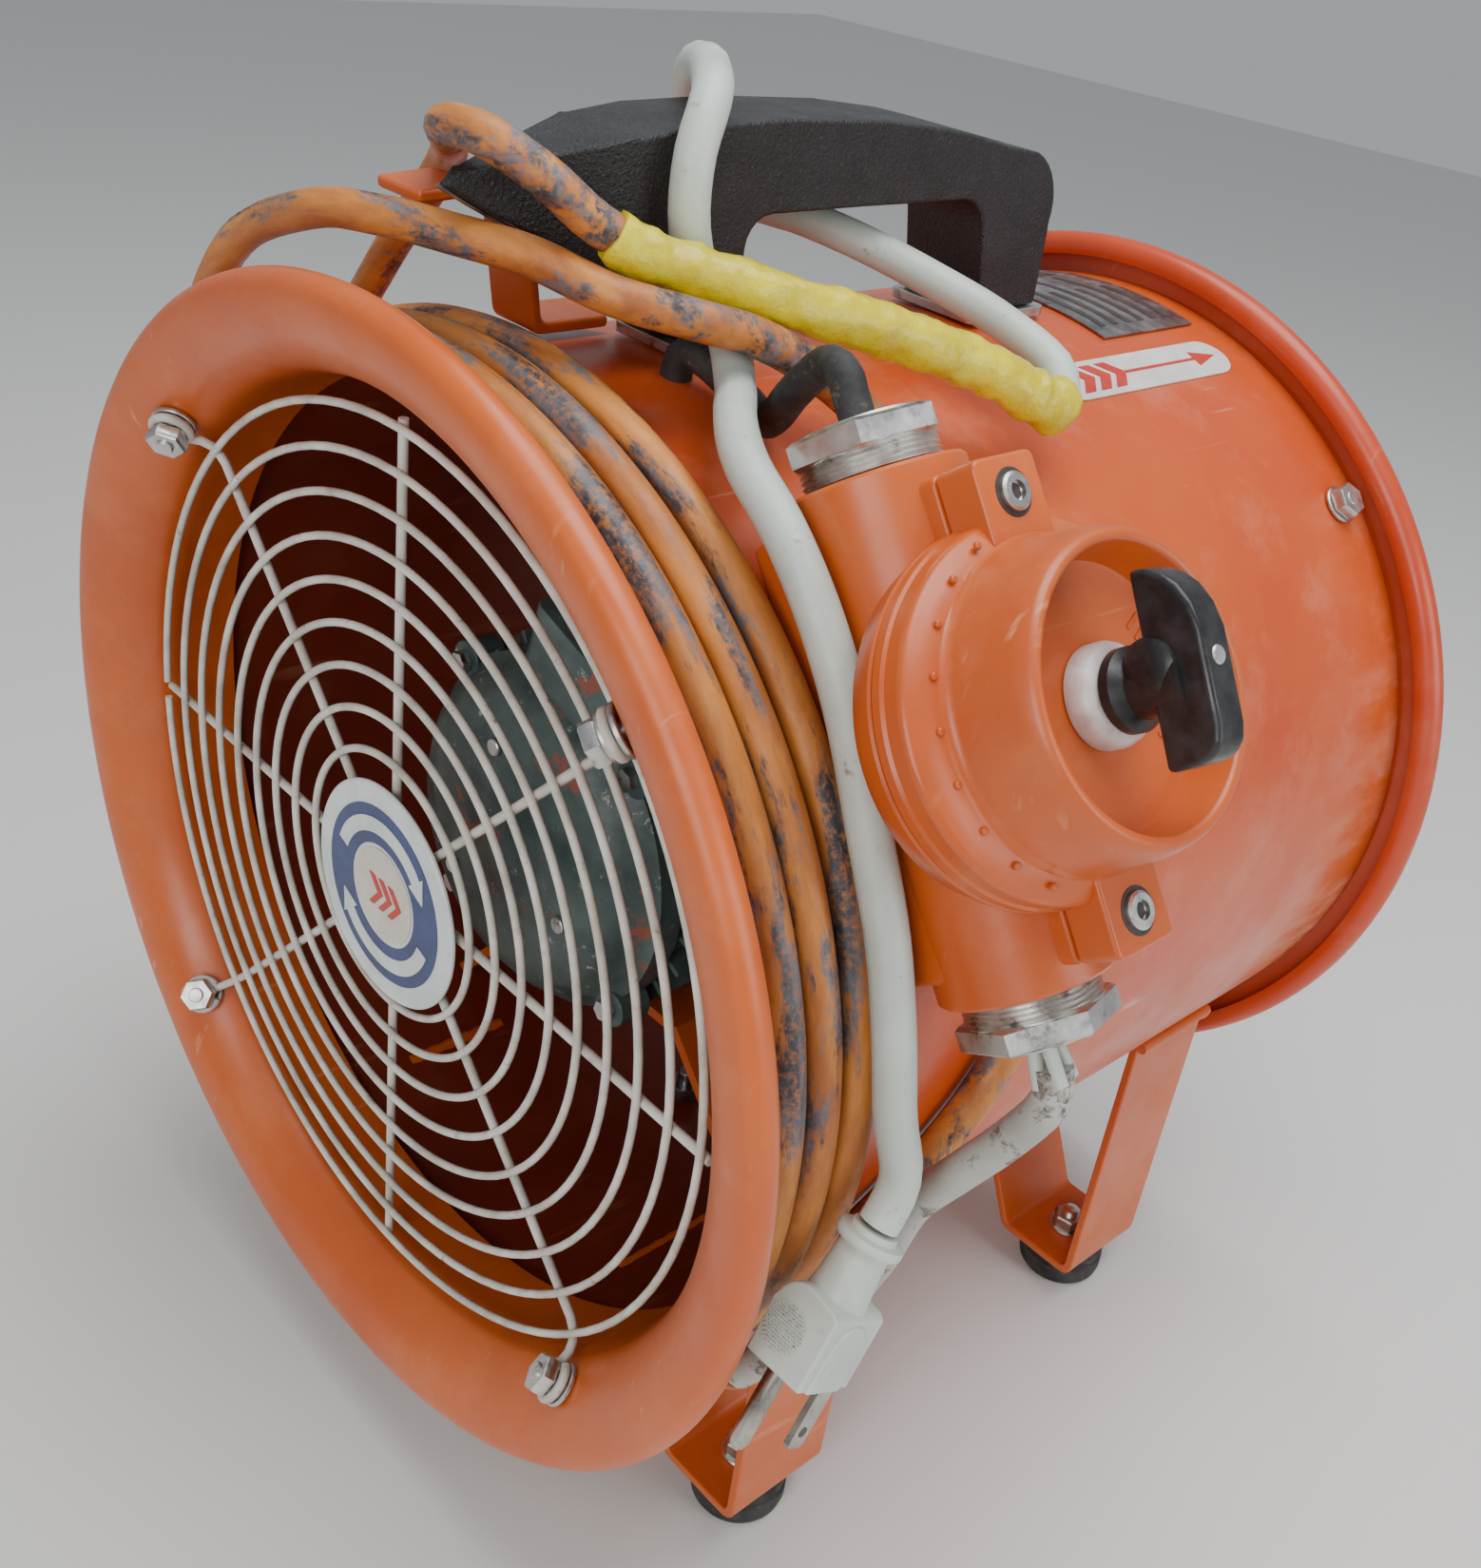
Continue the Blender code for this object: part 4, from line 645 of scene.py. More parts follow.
def neck_point(side, distance):
    """A point on the switch neck's centre line, in the fan's coordinates."""
    along, out = math.radians(SWITCH_ANGLE + 90), math.radians(SWITCH_ANGLE)
    return (NECK_X * math.cos(out) + side * distance * math.cos(along), SWITCH_Y,
            NECK_X * math.sin(out) + side * distance * math.sin(along))


def wound_route():
    """Three turns side by side; each steps to the next groove under the drum."""
    knots = [ray(*knot) for knot in FIRST_LAYER]
    for number, y in enumerate(TURN_Y):
        top = -360 * number
        knots += [ray(top + angle, TURN_CENTRE, y) for angle in range(-253, -401, -13)]
        if number < 2:
            ahead = TURN_Y[number + 1]
            for step in range(1, 13):
                t = step / 12
                blend = t * t * (3 - 2 * t)
                knots.append(ray(top - 400 - 200 * t, TURN_CENTRE, y + (ahead - y) * blend))
    knots += [ray(*knot) for knot in LAST_CLIMB]
    return knots


def add_cord(name, route, diameter, slot, stands_for, spacing=0.004, **facts):
    points = [AXIS + p for p in smooth_route(route, spacing)]
    curve = bpy.data.curves.new(name, "CURVE")
    curve.dimensions = "3D"
    curve.bevel_depth = diameter / 2
    curve.bevel_resolution = 4
    curve.use_fill_caps = True
    spline = curve.splines.new("POLY")
    spline.points.add(len(points) - 1)
    for knot, place in zip(spline.points, points):
        knot.co = (*place, 1)
    spline.use_smooth = True
    curve.materials.append(MATERIALS[slot])
    item = bpy.data.objects.new(name, curve)
    bpy.context.scene.collection.objects.link(item)
    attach(item, "housing")
    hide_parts(*stands_for)


WRINKLE_SEED = 1  # left at 0, the noise would start from the clock and differ in every run


def make_tape():
    """Yellow tape wound over the splice, with wrinkles, lapped edges and a fat far end."""
    points = smooth_route(TAPE_ROUTE, 0.0010)
    bm = bmesh.new()
    radii = []
    for k in range(len(points)):
        t = k / (len(points) - 1)
        lap = (k % 9) / 9
        swell = 0.0060 + 0.0002 * t + 0.0012 * max(0, (t - 0.84) / 0.16)
        ends = min(1, k / 2 + 0.96, (len(points) - 1 - k) / 3 + 0.55)
        fold = 0.00045 * math.sin(k * 1.15) * max(0, (t - 0.70) / 0.30)
        radii.append((swell + 0.00035 * lap + fold) * ends)
    add_tube(bm, [AXIS + p for p in points], radii, 32)
    noise.seed_set(WRINKLE_SEED)
    for vert in bm.verts:
        vert.co += noise.noise_vector(vert.co * 150) * 0.0008 + noise.noise_vector(vert.co * 430) * 0.0004
    return add_piece("splice_tape", bm, "yellow_tape", ["splice_sleeve"], angle=60)


def plug_frame():
    """The plug's own frame, with Z from the cable toward the pins."""
    aside = (Vector((1, 0, 0)) - PLUG_AXIS * PLUG_AXIS.x).normalized()
    turn = Matrix((aside, PLUG_AXIS.cross(aside), PLUG_AXIS)).transposed().to_4x4()
    return FAN @ Matrix.Translation(PLUG_TOP) @ turn


def make_plug():
    """A moulded three-pin plug: collar, tapered neck, shouldered body, ribbed grips and pins."""
    place = plug_frame()
    bm = bmesh.new()
    profile = [(0, -0.0004), (0.0056, -0.0004), (0.0060, 0.0010), (0.0080, 0.0014), (0.0083, 0.0022),
               (0.0083, 0.0032), (0.0079, 0.0038), (0.0062, 0.0042), (0.0064, 0.0090), (0.0070, 0.0150),
               (0.0078, 0.0205), (0, 0.0210)]
    add_revolve(bm, profile, place, 48, False)
    neck = add_piece("plug_neck", bm, "white_cable", ["plug_body"])
    bm = bmesh.new()
    outline = [(-0.0085, 0.0375), (-0.0085, 0.0235)] + arc((-0.0015, 0.0235), 0.0070, 180, 285, 10)
    outline += [(0.0070, 0.0178), (0.0085, 0.0190), (0.0085, 0.0375)]
    stand = place @ ON_YZ
    facing = place @ ON_XZ
    add_prism(bm, outline, -0.0105, 0.0105, facing)
    body = add_piece("plug_shell", bm, "white_cable", bevel=0.0012)
    bm = bmesh.new()
    panel = arc((0.0010, 0.0260), 0.0062, 180, 360, 16) + [(0.0078, 0.0374), (-0.0060, 0.0374)]
    add_prism(bm, panel, 0.0060, 0.0093, stand)
    add_prism(bm, panel, -0.0091, -0.0060, stand)
    face = add_piece("plug_panel", bm, "white_cable", bevel=0.0006)
    bm = bmesh.new()
    grip = place @ Matrix.Translation((-0.0022, 0, 0.0278))
    for side in (1, -1):
        low, high = sorted((side * 0.0080, side * 0.0109))
        for k in range(-5, 6):
            reach = 0.0060 * math.sqrt(1 - (k / 6) ** 2)
            for lean in (35, -35):
                turn = Matrix.Rotation(math.radians(lean), 4, "Y")
                spot = grip @ turn @ Matrix.Translation((0.0009 * k, 0, 0))
                add_box(bm, (-0.00022, low, -reach), (0.00022, high, reach), spot)
    ribs = add_piece("plug_grips", bm, "white_cable")
    bm = bmesh.new()
    for side in (1, -1):
        middle = side * BLADE_X
        blade = [(-0.0081, 0.0370), (-0.0018, 0.0370), (-0.0018, 0.0535), (-0.0028, 0.0545),
                 (-0.0071, 0.0545), (-0.0081, 0.0535)]
        add_prism(bm, blade, middle - BLADE_HALF_THICKNESS, middle + BLADE_HALF_THICKNESS, stand)
    add_revolve(bm, [(0, 0.0370), (0.0024, 0.0370), (0.0024, 0.0560), (0.0018, 0.0578), (0.0008, 0.0585),
                     (0, 0.0585)], place @ Matrix.Translation((0, 0.0070, 0)), 24, False)
    pins = add_piece("plug_pins", bm, "brass")
    bm = bmesh.new()
    # Dark discs through the blades: painted shade standing in for the open pin holes
    for side in (1, -1):
        hole = place @ Matrix.Translation((side * BLADE_X, -0.00495, 0.0500)) @ OUTWARD
        add_revolve(bm, [(0, -0.00088), (0.0014, -0.00088), (0.0014, 0.00088), (0, 0.00088)], hole, 20, False)
    holes = add_piece("plug_pin_holes", bm, "mark_dark")
    return [neck, body, face, ribs, pins, holes]


def make_cables():
    lead = [neck_point(1, 0.0500), neck_point(1, 0.0620), neck_point(1, 0.0740), neck_point(1, 0.0800)]
    add_cord("motor_cable", lead + LEAD_ROUTE, 0.0084, "black_rubber", ["motor_lead"], 0.003,
             far_end="object", lay="loose")
    supply = [neck_point(-1, 0.0765)]
    add_cord("supply_cable", supply + SUPPLY_ROUTE, CORD, "grey_cable", ["supply_lead"],
             far_end="object", lay="loose")
    wound = wound_route() + OVER_ROUTE + [ray(*knot) for knot in UNDER_WRAP] + RISE_ROUTE
    add_cord("extension_cable", wound, CORD, "orange_cable", ["cord_winding", "cord_crossing", "cord_rise"],
             far_end="object", lay="coiled")
    tape = make_tape()
    add_cord("mains_pigtail", PIGTAIL_ROUTE, 0.0100, "white_cable", ["pigtail"],
             far_end="plug", lay="hanging", with_pieces=[tape, *make_plug()])


# ---------------------------------------------------------------- duct

def make_bell():
    flare, depth = 0.0217, 0.0240
    outer = [(0.1550 - flare * math.cos(t), depth - depth * math.sin(t))
             for t in (math.pi / 2 * k / 14 for k in range(15))]
    wall = 0.0016
    inner = [(0.1550 - (flare - wall) * math.cos(t), depth - (depth - wall) * math.sin(t))
             for t in (math.pi / 2 * k / 14 for k in range(15))]
    profile = [(0.1333, 0.0400)] + outer + arc((0.1550, 0.0050), 0.0050, -70, 100, 14)
    profile += arc((0.1550, 0.0050), 0.0034, 100, -70, 10) + inner[::-1] + [(0.1349, 0.0400)]
    bm = bmesh.new()
    add_revolve(bm, profile, FAN @ Z_ALONG, 160)
    add_piece("intake_bell", bm, "orange_paint", ["front_bell"])


def make_drum():
    bm = bmesh.new()
    inner = DRUM_RADIUS - 0.0020
    outside = [(inner, 0.0190), (DRUM_RADIUS - 0.0005, 0.0190), (DRUM_RADIUS, 0.0195), (DRUM_RADIUS, 0.1000),
               (DRUM_RADIUS, 0.2000), (DRUM_RADIUS, 0.2980), (DRUM_RADIUS - 0.0005, 0.2986), (inner, 0.2986)]
    add_revolve(bm, outside, FAN @ Z_ALONG, 160, False)
    # The inner wall takes slot 1, the darkened duct paint: painted shade inside the drum
    add_revolve(bm, [(inner, 0.2986), (inner, 0.0190)], FAN @ Z_ALONG, 160, False, 1)
    bmesh.ops.remove_doubles(bm, verts=bm.verts, dist=0.00002)
    add_piece("drum_tube", bm, ["drum_paint", "duct_painted_shade"], ["drum_shell"])
    bm = bmesh.new()
    seam = [FAN @ ray(-100, DRUM_RADIUS + 0.0001, 0.0560 + 0.004 * k) for k in range(60)]
    add_tube(bm, seam, [0.0009 + 0.0002 * (k % 2) for k in range(60)], 10)
    add_piece("drum_seam_weld", bm, "drum_paint")


def make_outlet():
    roll = (0.1463, 0.3006)
    profile = [(0.1340, 0.2700), (0.1340, 0.2990)] + arc((0.1390, 0.2985), 0.0050, 180, 110, 6)
    profile += arc(roll, 0.0047, 92, -120, 18) + arc(roll, 0.0031, -120, 92, 12)
    profile += [(0.1375, 0.3018), (0.1356, 0.2990), (0.1356, 0.2700)]
    bm = bmesh.new()
    add_revolve(bm, profile, FAN @ Z_ALONG, 160)
    add_piece("outlet_rim", bm, "red_paint", ["outlet_ring"])


# ---------------------------------------------------------------- guards

GUARD_Y = 0.0150
REAR_GUARD_Y = 0.2790
FIRST_RING = 0.0380
RING_STEP = 0.01125
RING_WIRE = 0.0011
SPOKE_WIRE = 0.0013
EYE_SWEEP = 318
OPEN_EYE_SWEEP = 250
SEAT_TILT = -141


def ring_points(radius, y, gap=0.0, count=96):
    start = 180 + gap / 2
    turns = [start + (360 - gap) * k / count for k in range(count + (1 if gap else 0))]
    return [FAN @ ray(turn, radius, y) for turn in turns]


def sideways(angle):
    """The direction round the fan's axis at an angle."""
    return Vector((-math.sin(math.radians(angle)), 0, math.cos(math.radians(angle))))


def eye(centre, first, second, reach, start, sweep):
    """Points round a bolt's eye, turning from the first direction toward the second."""
    turns = [math.radians(start + sweep * k / 20) for k in range(1, 21)]
    return [centre + first * (reach * math.cos(t)) + second * (reach * math.sin(t)) for t in turns]


def make_front_guard():
    """Nine rings on eight half-spokes; four of them run out to eyes round the bolts."""
    bm = bmesh.new()
    for k in range(9):
        last = k == 8
        ring = ring_points(FIRST_RING + RING_STEP * k, GUARD_Y, 2.5 if last else 0)
        add_tube(bm, ring, RING_WIRE, 10, not last)
    bar_y = GUARD_Y + 0.0021
    for angle in (0, 90, 180, 270):
        add_tube(bm, [FAN @ ray(angle, r, bar_y) for r in (0.006, 0.070, 0.1295)], SPOKE_WIRE, 12)
    tilt = math.radians(SEAT_TILT + 90)
    eye_r, eye_y = 0.1388 + 0.0034 * math.sin(tilt), 0.0080 - 0.0034 * math.cos(tilt)
    reach = 0.0050
    join = (eye_r - reach * math.cos(tilt), eye_y - reach * math.sin(tilt))
    for angle in BOLT_ANGLES:
        route = [(0.0060, bar_y), (0.0700, bar_y), (0.1200, bar_y), (0.1262, 0.0168), (0.1310, 0.0143), join]
        bar = smooth_route([ray(angle, r, y) for r, y in route], 0.003)
        centre = ray(angle, eye_r, eye_y)
        along = ray(angle, math.cos(tilt), math.sin(tilt))
        bar += eye(centre, along, sideways(angle), reach, 180, OPEN_EYE_SWEEP if angle == 135 else EYE_SWEEP)
        add_tube(bm, [FAN @ p for p in bar], SPOKE_WIRE, 12)
    add_piece("intake_guard", bm, "guard_wire", ["front_guard"], angle=60)


def make_rear_guard():
    bm = bmesh.new()
    y = REAR_GUARD_Y
    for k in range(0, 9, 2):
        add_tube(bm, ring_points(FIRST_RING + RING_STEP * k, y), RING_WIRE, 10, True)
    add_revolve(bm, [(0, -0.0008), (0.0120, -0.0008), (0.0120, 0.0009), (0, 0.0009)],
                FAN @ Matrix.Translation((0, y - 0.0023, 0)) @ Z_ALONG, 48, False)
    for angle in BOLT_ANGLES:
        route = [(0.0090, y - 0.0023), (0.0700, y - 0.0023), (0.1240, y - 0.0023), (0.1300, y - 0.0010),
                 (0.1314, 0.2818)]
        bar = smooth_route([ray(angle, r, yy) for r, yy in route], 0.003)
        centre = ray(angle, 0.1314, 0.2870)
        bar += eye(centre, sideways(angle), Vector((0, 1, 0)), 0.0052, -90, EYE_SWEEP)
        add_tube(bm, [FAN @ p for p in bar], SPOKE_WIRE, 12)
    add_piece("outlet_guard", bm, "guard_wire", ["rear_guard"], angle=60)


def add_hexagon(bm, across, low, high, place, chamfer=0.0005, turn=0):
    """A hexagon with its top edges turned down, as on a bolt head or nut."""
    radius = across / math.sqrt(3)
    corners = [math.radians(60 * k + turn) for k in range(6)]
    rings = []
    for height, shrink in ((low, 0.94), (low + chamfer, 1.0), (high - chamfer, 1.0), (high, 0.92)):
        reach = radius * shrink
        rings.append([bm.verts.new(place @ Vector((reach * math.cos(a), reach * math.sin(a), height)))
                      for a in corners])
    for first, second in zip(rings, rings[1:]):
        for k in range(6):
            bm.faces.new((first[k], first[(k + 1) % 6], second[(k + 1) % 6], second[k]))
    bm.faces.new(rings[0][::-1])
    bm.faces.new(rings[-1])


def add_disc(bm, radius, low, high, place, segments=40, edge=0.0003, hole=0):
    profile = [(hole, low), (radius - edge, low), (radius, low + edge), (radius, high - edge),
               (radius - edge, high), (hole, high)]
    add_revolve(bm, profile, place, segments, hole > 0)


def make_guard_bolts():
    for letter, angle in zip("abcd", BOLT_ANGLES):
        seat = radial(angle, 0.0080, 0.1388, SEAT_TILT)
        bm = bmesh.new()
        add_disc(bm, 0.0064 if letter == "a" else 0.0060, 0.0003, 0.0017, seat)
        if letter == "a":
            add_disc(bm, 0.0060, 0.0038, 0.0050, seat)
        add_hexagon(bm, 0.0096, 0.0052, 0.0090, seat, turn=11 * angle)
        add_disc(bm, 0.0024, -0.0075, 0.0098, seat, 20)
        add_hexagon(bm, 0.0080, -0.0060, -0.0024, seat)
        add_piece(f"intake_bolt_{letter}", bm, "zinc", [f"guard_bolt_{letter}"])
        seat = radial(angle, 0.2870, DRUM_RADIUS)
        bm = bmesh.new()
        add_disc(bm, 0.0060, 0.0003, 0.0015, seat)
        add_hexagon(bm, 0.0096, 0.0016, 0.0056, seat, turn=angle)
        add_disc(bm, 0.0024, -0.0135, 0.0058, seat, 20)
        add_hexagon(bm, 0.0080, -0.0121, -0.0085, seat)
        add_piece(f"outlet_bolt_{letter}", bm, "zinc", [f"rear_guard_bolt_{letter}"])


def make_badge():
    place = FAN @ Matrix.Translation((0.001, 0, -0.002)) @ Z_ALONG
    bm = bmesh.new()
    add_disc(bm, 0.0325, 0.0127, 0.0143, place, 96, 0.0005)
    add_piece("badge_disc", bm, "badge_print", ["guard_badge"])
    bm = bmesh.new()
    add_revolve(bm, [(0.0150, 0.0127), (0.0150, 0.0125), (0.0262, 0.0125), (0.0262, 0.0127)], place, 96)
    add_piece("badge_band", bm, "badge_navy")
    bm = bmesh.new()
    add_revolve(bm, [(0, 0.0126), (0, 0.01245), (0.0138, 0.01245), (0.0138, 0.0126)], place, 64, False)
    add_piece("badge_centre", bm, "badge_cream")
    bm = bmesh.new()
    for start in (20, 200):
        outline = arc((0, 0), 0.0228, start, start + 120, 24)
        outline += [polar(0.0246, start + 120), polar(0.0206, start + 138), polar(0.0166, start + 120)]
        outline += arc((0, 0), 0.0184, start + 120, start, 24)
        add_prism(bm, outline, 0.01225, 0.01255, place)
    add_piece("badge_arrows", bm, "badge_print")
    bm = bmesh.new()
    for k in range(3):
        x = -0.0062 + 0.0045 * k
        chevron = [(x, 0.0048), (x + 0.0024, 0.0048), (x + 0.0066, 0), (x + 0.0024, -0.0048), (x, -0.0048),
                   (x + 0.0042, 0)]
        add_prism(bm, chevron, 0.0122, 0.0125, place)
    add_piece("badge_chevrons", bm, "mark_red")


# ---------------------------------------------------------------- legs and feet

LEG_WIDTH = 0.0375
PLATE_Z = -0.1789
FOOT_X = 0.1022


def strip_outline(path, thickness):
    """A bent strip's outline; the path is its outer side, with metal at the left of it."""
    points = [Vector(p) for p in path]
    normals = [Vector((-(b - a).y, (b - a).x)).normalized() for a, b in zip(points, points[1:])]
    inner = [points[0] + normals[0] * thickness]
    for corner, before, after in zip(points[1:], normals, normals[1:]):
        mitre = (before + after).normalized()
        inner.append(corner + mitre * (thickness / mitre.dot(after)))
    inner.append(points[-1] + normals[-1] * thickness)
    return [tuple(p) for p in points] + [tuple(p) for p in reversed(inner)]


def make_legs():
    across = Matrix.Rotation(math.radians(90), 4, "X")
    for row, front in (("front", 0.0614), ("rear", 0.2246)):
        for hand, side in (("right", 1), ("left", -1)):
            path = [(0.0592, -0.1230), (0.0865, PLATE_Z), (0.1180, PLATE_Z), (0.1180, -0.0712)]
            outline = strip_outline(path, 0.0030)
            outline = rounded(outline, [0, 0.0055, 0.0055, 0, 0, 0.0030, 0.0030, 0], 6)
            outline = [(side * x, z) for x, z in outline]
            bm = bmesh.new()
            place = FAN @ Matrix.Translation((0, front + LEG_WIDTH / 2, 0)) @ across
            add_prism(bm, outline, -LEG_WIDTH / 2, LEG_WIDTH / 2, place)
            add_piece(f"stand_{row}_{hand}", bm, "orange_paint", [f"leg_{row}_{hand}"],
                      bevel=0.0007)
            bm = bmesh.new()
            for x, z in ((0.1188, -0.0722), (0.0578, -0.1246)):
                weld = [FAN @ Vector((side * x, front + LEG_WIDTH * k / 12, z)) for k in range(13)]
                add_tube(bm, weld, [0.0021 + 0.0004 * (k % 2) for k in range(13)], 10)
            add_piece(f"stand_weld_{row}_{hand}", bm, "orange_paint")
            make_foot(f"{row}_{hand}", side * FOOT_X, front + LEG_WIDTH / 2)


def make_foot(label, x, y):
    place = FAN @ Matrix.Translation((x, y, -AXIS.z))
    top = AXIS.z + PLATE_Z - 0.0003
    bm = bmesh.new()
    profile = [(0, 0), (0.0128, 0), (0.0138, 0.0006), (0.0145, 0.0018), (0.0150, 0.0040), (0.0149, 0.0080),
               (0.0140, 0.0086), (0.0140, 0.0096), (0.0146, 0.0102), (0.0145, top - 0.0008),
               (0.0139, top), (0, top)]
    add_revolve(bm, profile, place, 64, False)
    add_piece(f"rubber_foot_{label}", bm, "black_rubber", [f"foot_{label}"])
    bm = bmesh.new()
    plate = AXIS.z + PLATE_Z + 0.0030
    add_disc(bm, 0.0068, plate, plate + 0.0008, place)
    add_hexagon(bm, 0.0100, plate + 0.0008, plate + 0.0053, place, turn=13)
    threads = [(0, 0.0046)]
    for k in range(28):
        threads += [(0.0030, 0.0050 + 0.00072 * k), (0.0027, 0.00536 + 0.00072 * k)]
    add_revolve(bm, threads + [(0, 0.0254)], place, 24, False)
    add_piece(f"foot_bolt_{label}", bm, "zinc", [f"foot_stud_{label}"])


# ---------------------------------------------------------------- handle and labels

def add_slab(bm, outline, half_width, centre_x=0.0):
    """A (y, z) outline given thickness along x, which half_width gives for each y."""
    left = [bm.verts.new(FAN @ Vector((centre_x - half_width(y), y, z))) for y, z in outline]
    right = [bm.verts.new(FAN @ Vector((centre_x + half_width(y), y, z))) for y, z in outline]
    bm.faces.new(left)
    bm.faces.new(right[::-1])
    for k in range(len(outline)):
        after = (k + 1) % len(outline)
        bm.faces.new((left[k], right[k], right[after], left[after]))


def make_handle():
    base = 0.1417
    keel_line = [(0.0248, 0.1812), (0.0330, 0.1768), (0.0450, 0.1708), (0.0680, 0.1592)]
    grip = [(0.2260, base), (0.2260, 0.1620)] + arc((0.2085, 0.1690), 0.0175, -12, 68, 9)
    grip += [(0.2010, 0.1874), (0.1880, 0.1903), (0.1750, 0.1925), (0.1500, 0.1950), (0.1150, 0.1960),
             (0.0850, 0.1950), (0.0680, 0.1926), (0.0600, 0.1912), (0.0420, 0.1872), (0.0300, 0.1843)]
    grip += [*keel_line, (0.0710, 0.1580), (0.0920, base)]
    grip += [(0.1060, base), (0.1050, 0.1630)] + arc((0.1130, 0.1655), 0.0080, 180, 90, 6)
    grip += [(0.1450, 0.1737), (0.1840, 0.1735)] + arc((0.1850, 0.1625), 0.0110, 88, 8, 6)
    grip += [(0.1985, 0.1520), (0.2000, base)]
    bm = bmesh.new()
    add_slab(bm, grip, lambda y: 0.0150)
    for y in (0.0680, 0.0580, 0.0480, 0.0380, 0.0300):
        whole = [*bm.verts, *bm.edges, *bm.faces]
        bmesh.ops.bisect_plane(bm, geom=whole, plane_co=FAN @ Vector((0, y, 0)), plane_no=(0, 1, 0))
    for vert in bm.verts:
        share = min(1.0, max(0.0, (vert.co.y - AXIS.y - 0.0225) / 0.0455))
        vert.co.x = AXIS.x + (vert.co.x - AXIS.x) * max(0.06, share)
    add_piece("grip", bm, "black_plastic", ["handle"], bevel=0.0034, angle=24)
    # A thin pale metal-grey line along the grip's front stem edge: a painted highlight where the edge catches
    # the light
    bm = bmesh.new()
    keel = [FAN @ Vector((0, y - 0.0003, z - 0.0002)) for y, z in keel_line]
    add_tube(bm, keel, 0.0006, 8)
    add_piece("grip_edge_highlight", bm, "plate_metal")


def make_handle_fixings():
    for name, front, rear, nodes in (("grip_rear_plate", 0.1960, 0.2300, ["handle_pad"]),
                                     ("grip_front_plate", 0.0900, 0.1080, [])):
        bm = bmesh.new()
        outline = rounded([(-0.0165, front), (0.0165, front), (0.0165, rear), (-0.0165, rear)], 0.0030)
        add_prism(bm, outline, 0.1384, 0.1414, FAN)
        add_piece(name, bm, "zinc", nodes, bevel=0.0005)
    path = [(0.0315, 0.1722), (0.0460, 0.1732), (0.0610, 0.1690), (0.0660, 0.1385), (0.0900, 0.1385)]
    outline = rounded(strip_outline(path, 0.0032), [0, 0.008, 0.008, 0.004, 0, 0, 0.003, 0.004, 0.006, 0], 7)
    bm = bmesh.new()
    add_slab(bm, outline, lambda y: 0.00925, -0.02675)
    add_piece("bridge_strap", bm, "orange_paint", ["handle_bracket"], bevel=0.0012)


def curved_patch(bm, outline, radius, thickness):
    """A flat (angle, y) outline laid on the drum as one thin patch with closed edges."""
    bottom = [bm.verts.new(FAN @ ray(a, radius, y)) for a, y in outline]
    top = [bm.verts.new(FAN @ ray(a, radius + thickness, y)) for a, y in outline]
    bm.faces.new(bottom[::-1])
    bm.faces.new(top)
    for k in range(len(outline)):
        after = (k + 1) % len(outline)
        bm.faces.new((bottom[k], bottom[after], top[after], top[k]))


def strip_patch(bm, start, end, y_low, y_high, radius, thickness):
    """A rectangle of the drum's surface, in narrow strips so that it follows the curve."""
    count = max(1, round(abs(end - start) / 1.5))
    for k in range(count):
        a, b = start + (end - start) * k / count, start + (end - start) * (k + 1) / count
        outer = [bm.verts.new(FAN @ ray(*spot)) for spot in
                 ((a, radius + thickness, y_low), (b, radius + thickness, y_low),
                  (b, radius + thickness, y_high), (a, radius + thickness, y_high))]
        inner = [bm.verts.new(FAN @ ray(*spot)) for spot in
                 ((a, radius, y_low), (b, radius, y_low), (b, radius, y_high), (a, radius, y_high))]
        bm.faces.new(outer)
        bm.faces.new((inner[0], inner[1], outer[1], outer[0]))
        bm.faces.new((inner[2], inner[3], outer[3], outer[2]))
        if k == 0:
            bm.faces.new((inner[3], inner[0], outer[0], outer[3]))
        if k == count - 1:
            bm.faces.new((inner[1], inner[2], outer[2], outer[1]))
    bmesh.ops.remove_doubles(bm, verts=bm.verts, dist=0.00001)


def make_labels():
    """A rating plate with blank fields, and a sticker whose arrow shows the air's direction."""
    bm = bmesh.new()
    strip_patch(bm, 76.6, 104.2, 0.2410, 0.2870, DRUM_RADIUS + 0.0003, 0.0006)
    add_piece("rating_plate", bm, "plate_metal", ["nameplate"])
    bm = bmesh.new()
    for k in range(6):
        y = 0.2460 + 0.0066 * k
        strip_patch(bm, 79, 90 if k % 2 else 96, y, y + 0.0026, DRUM_RADIUS + 0.0009, 0.00015)
    strip_patch(bm, 97.5, 102, 0.2480, 0.2800, DRUM_RADIUS + 0.0009, 0.00015)
    add_piece("rating_plate_fields", bm, "mark_dark")
    half = 3.15
    bm = bmesh.new()
    turns = [math.radians(180 * k / 12) for k in range(13)]
    outline = [(70 + half * math.cos(t), 0.2070 - 0.0080 * math.sin(t)) for t in turns]
    outline += [(70 - half * math.cos(t), 0.2760 + 0.0080 * math.sin(t)) for t in turns]
    curved_patch(bm, outline, DRUM_RADIUS + 0.0001, 0.00045)
    add_piece("arrow_sticker", bm, "label_film")
    bm = bmesh.new()
    top = DRUM_RADIUS + 0.00045
    for k in range(3):
        y = 0.2080 + 0.0075 * k
        curved_patch(bm, [(70 - 2.2, y), (70, y + 0.0050), (70 + 2.2, y), (70 + 2.2, y + 0.0048),
                          (70, y + 0.0098), (70 - 2.2, y + 0.0048)], top, 0.0003)
    curved_patch(bm, [(69.8, 0.2330), (70.2, 0.2330), (70.2, 0.2680), (71.3, 0.2680), (70, 0.2790),
                      (68.7, 0.2680), (69.8, 0.2680)], top, 0.0003)
    add_piece("arrow_marks", bm, "mark_red")


# ---------------------------------------------------------------- motor and impeller

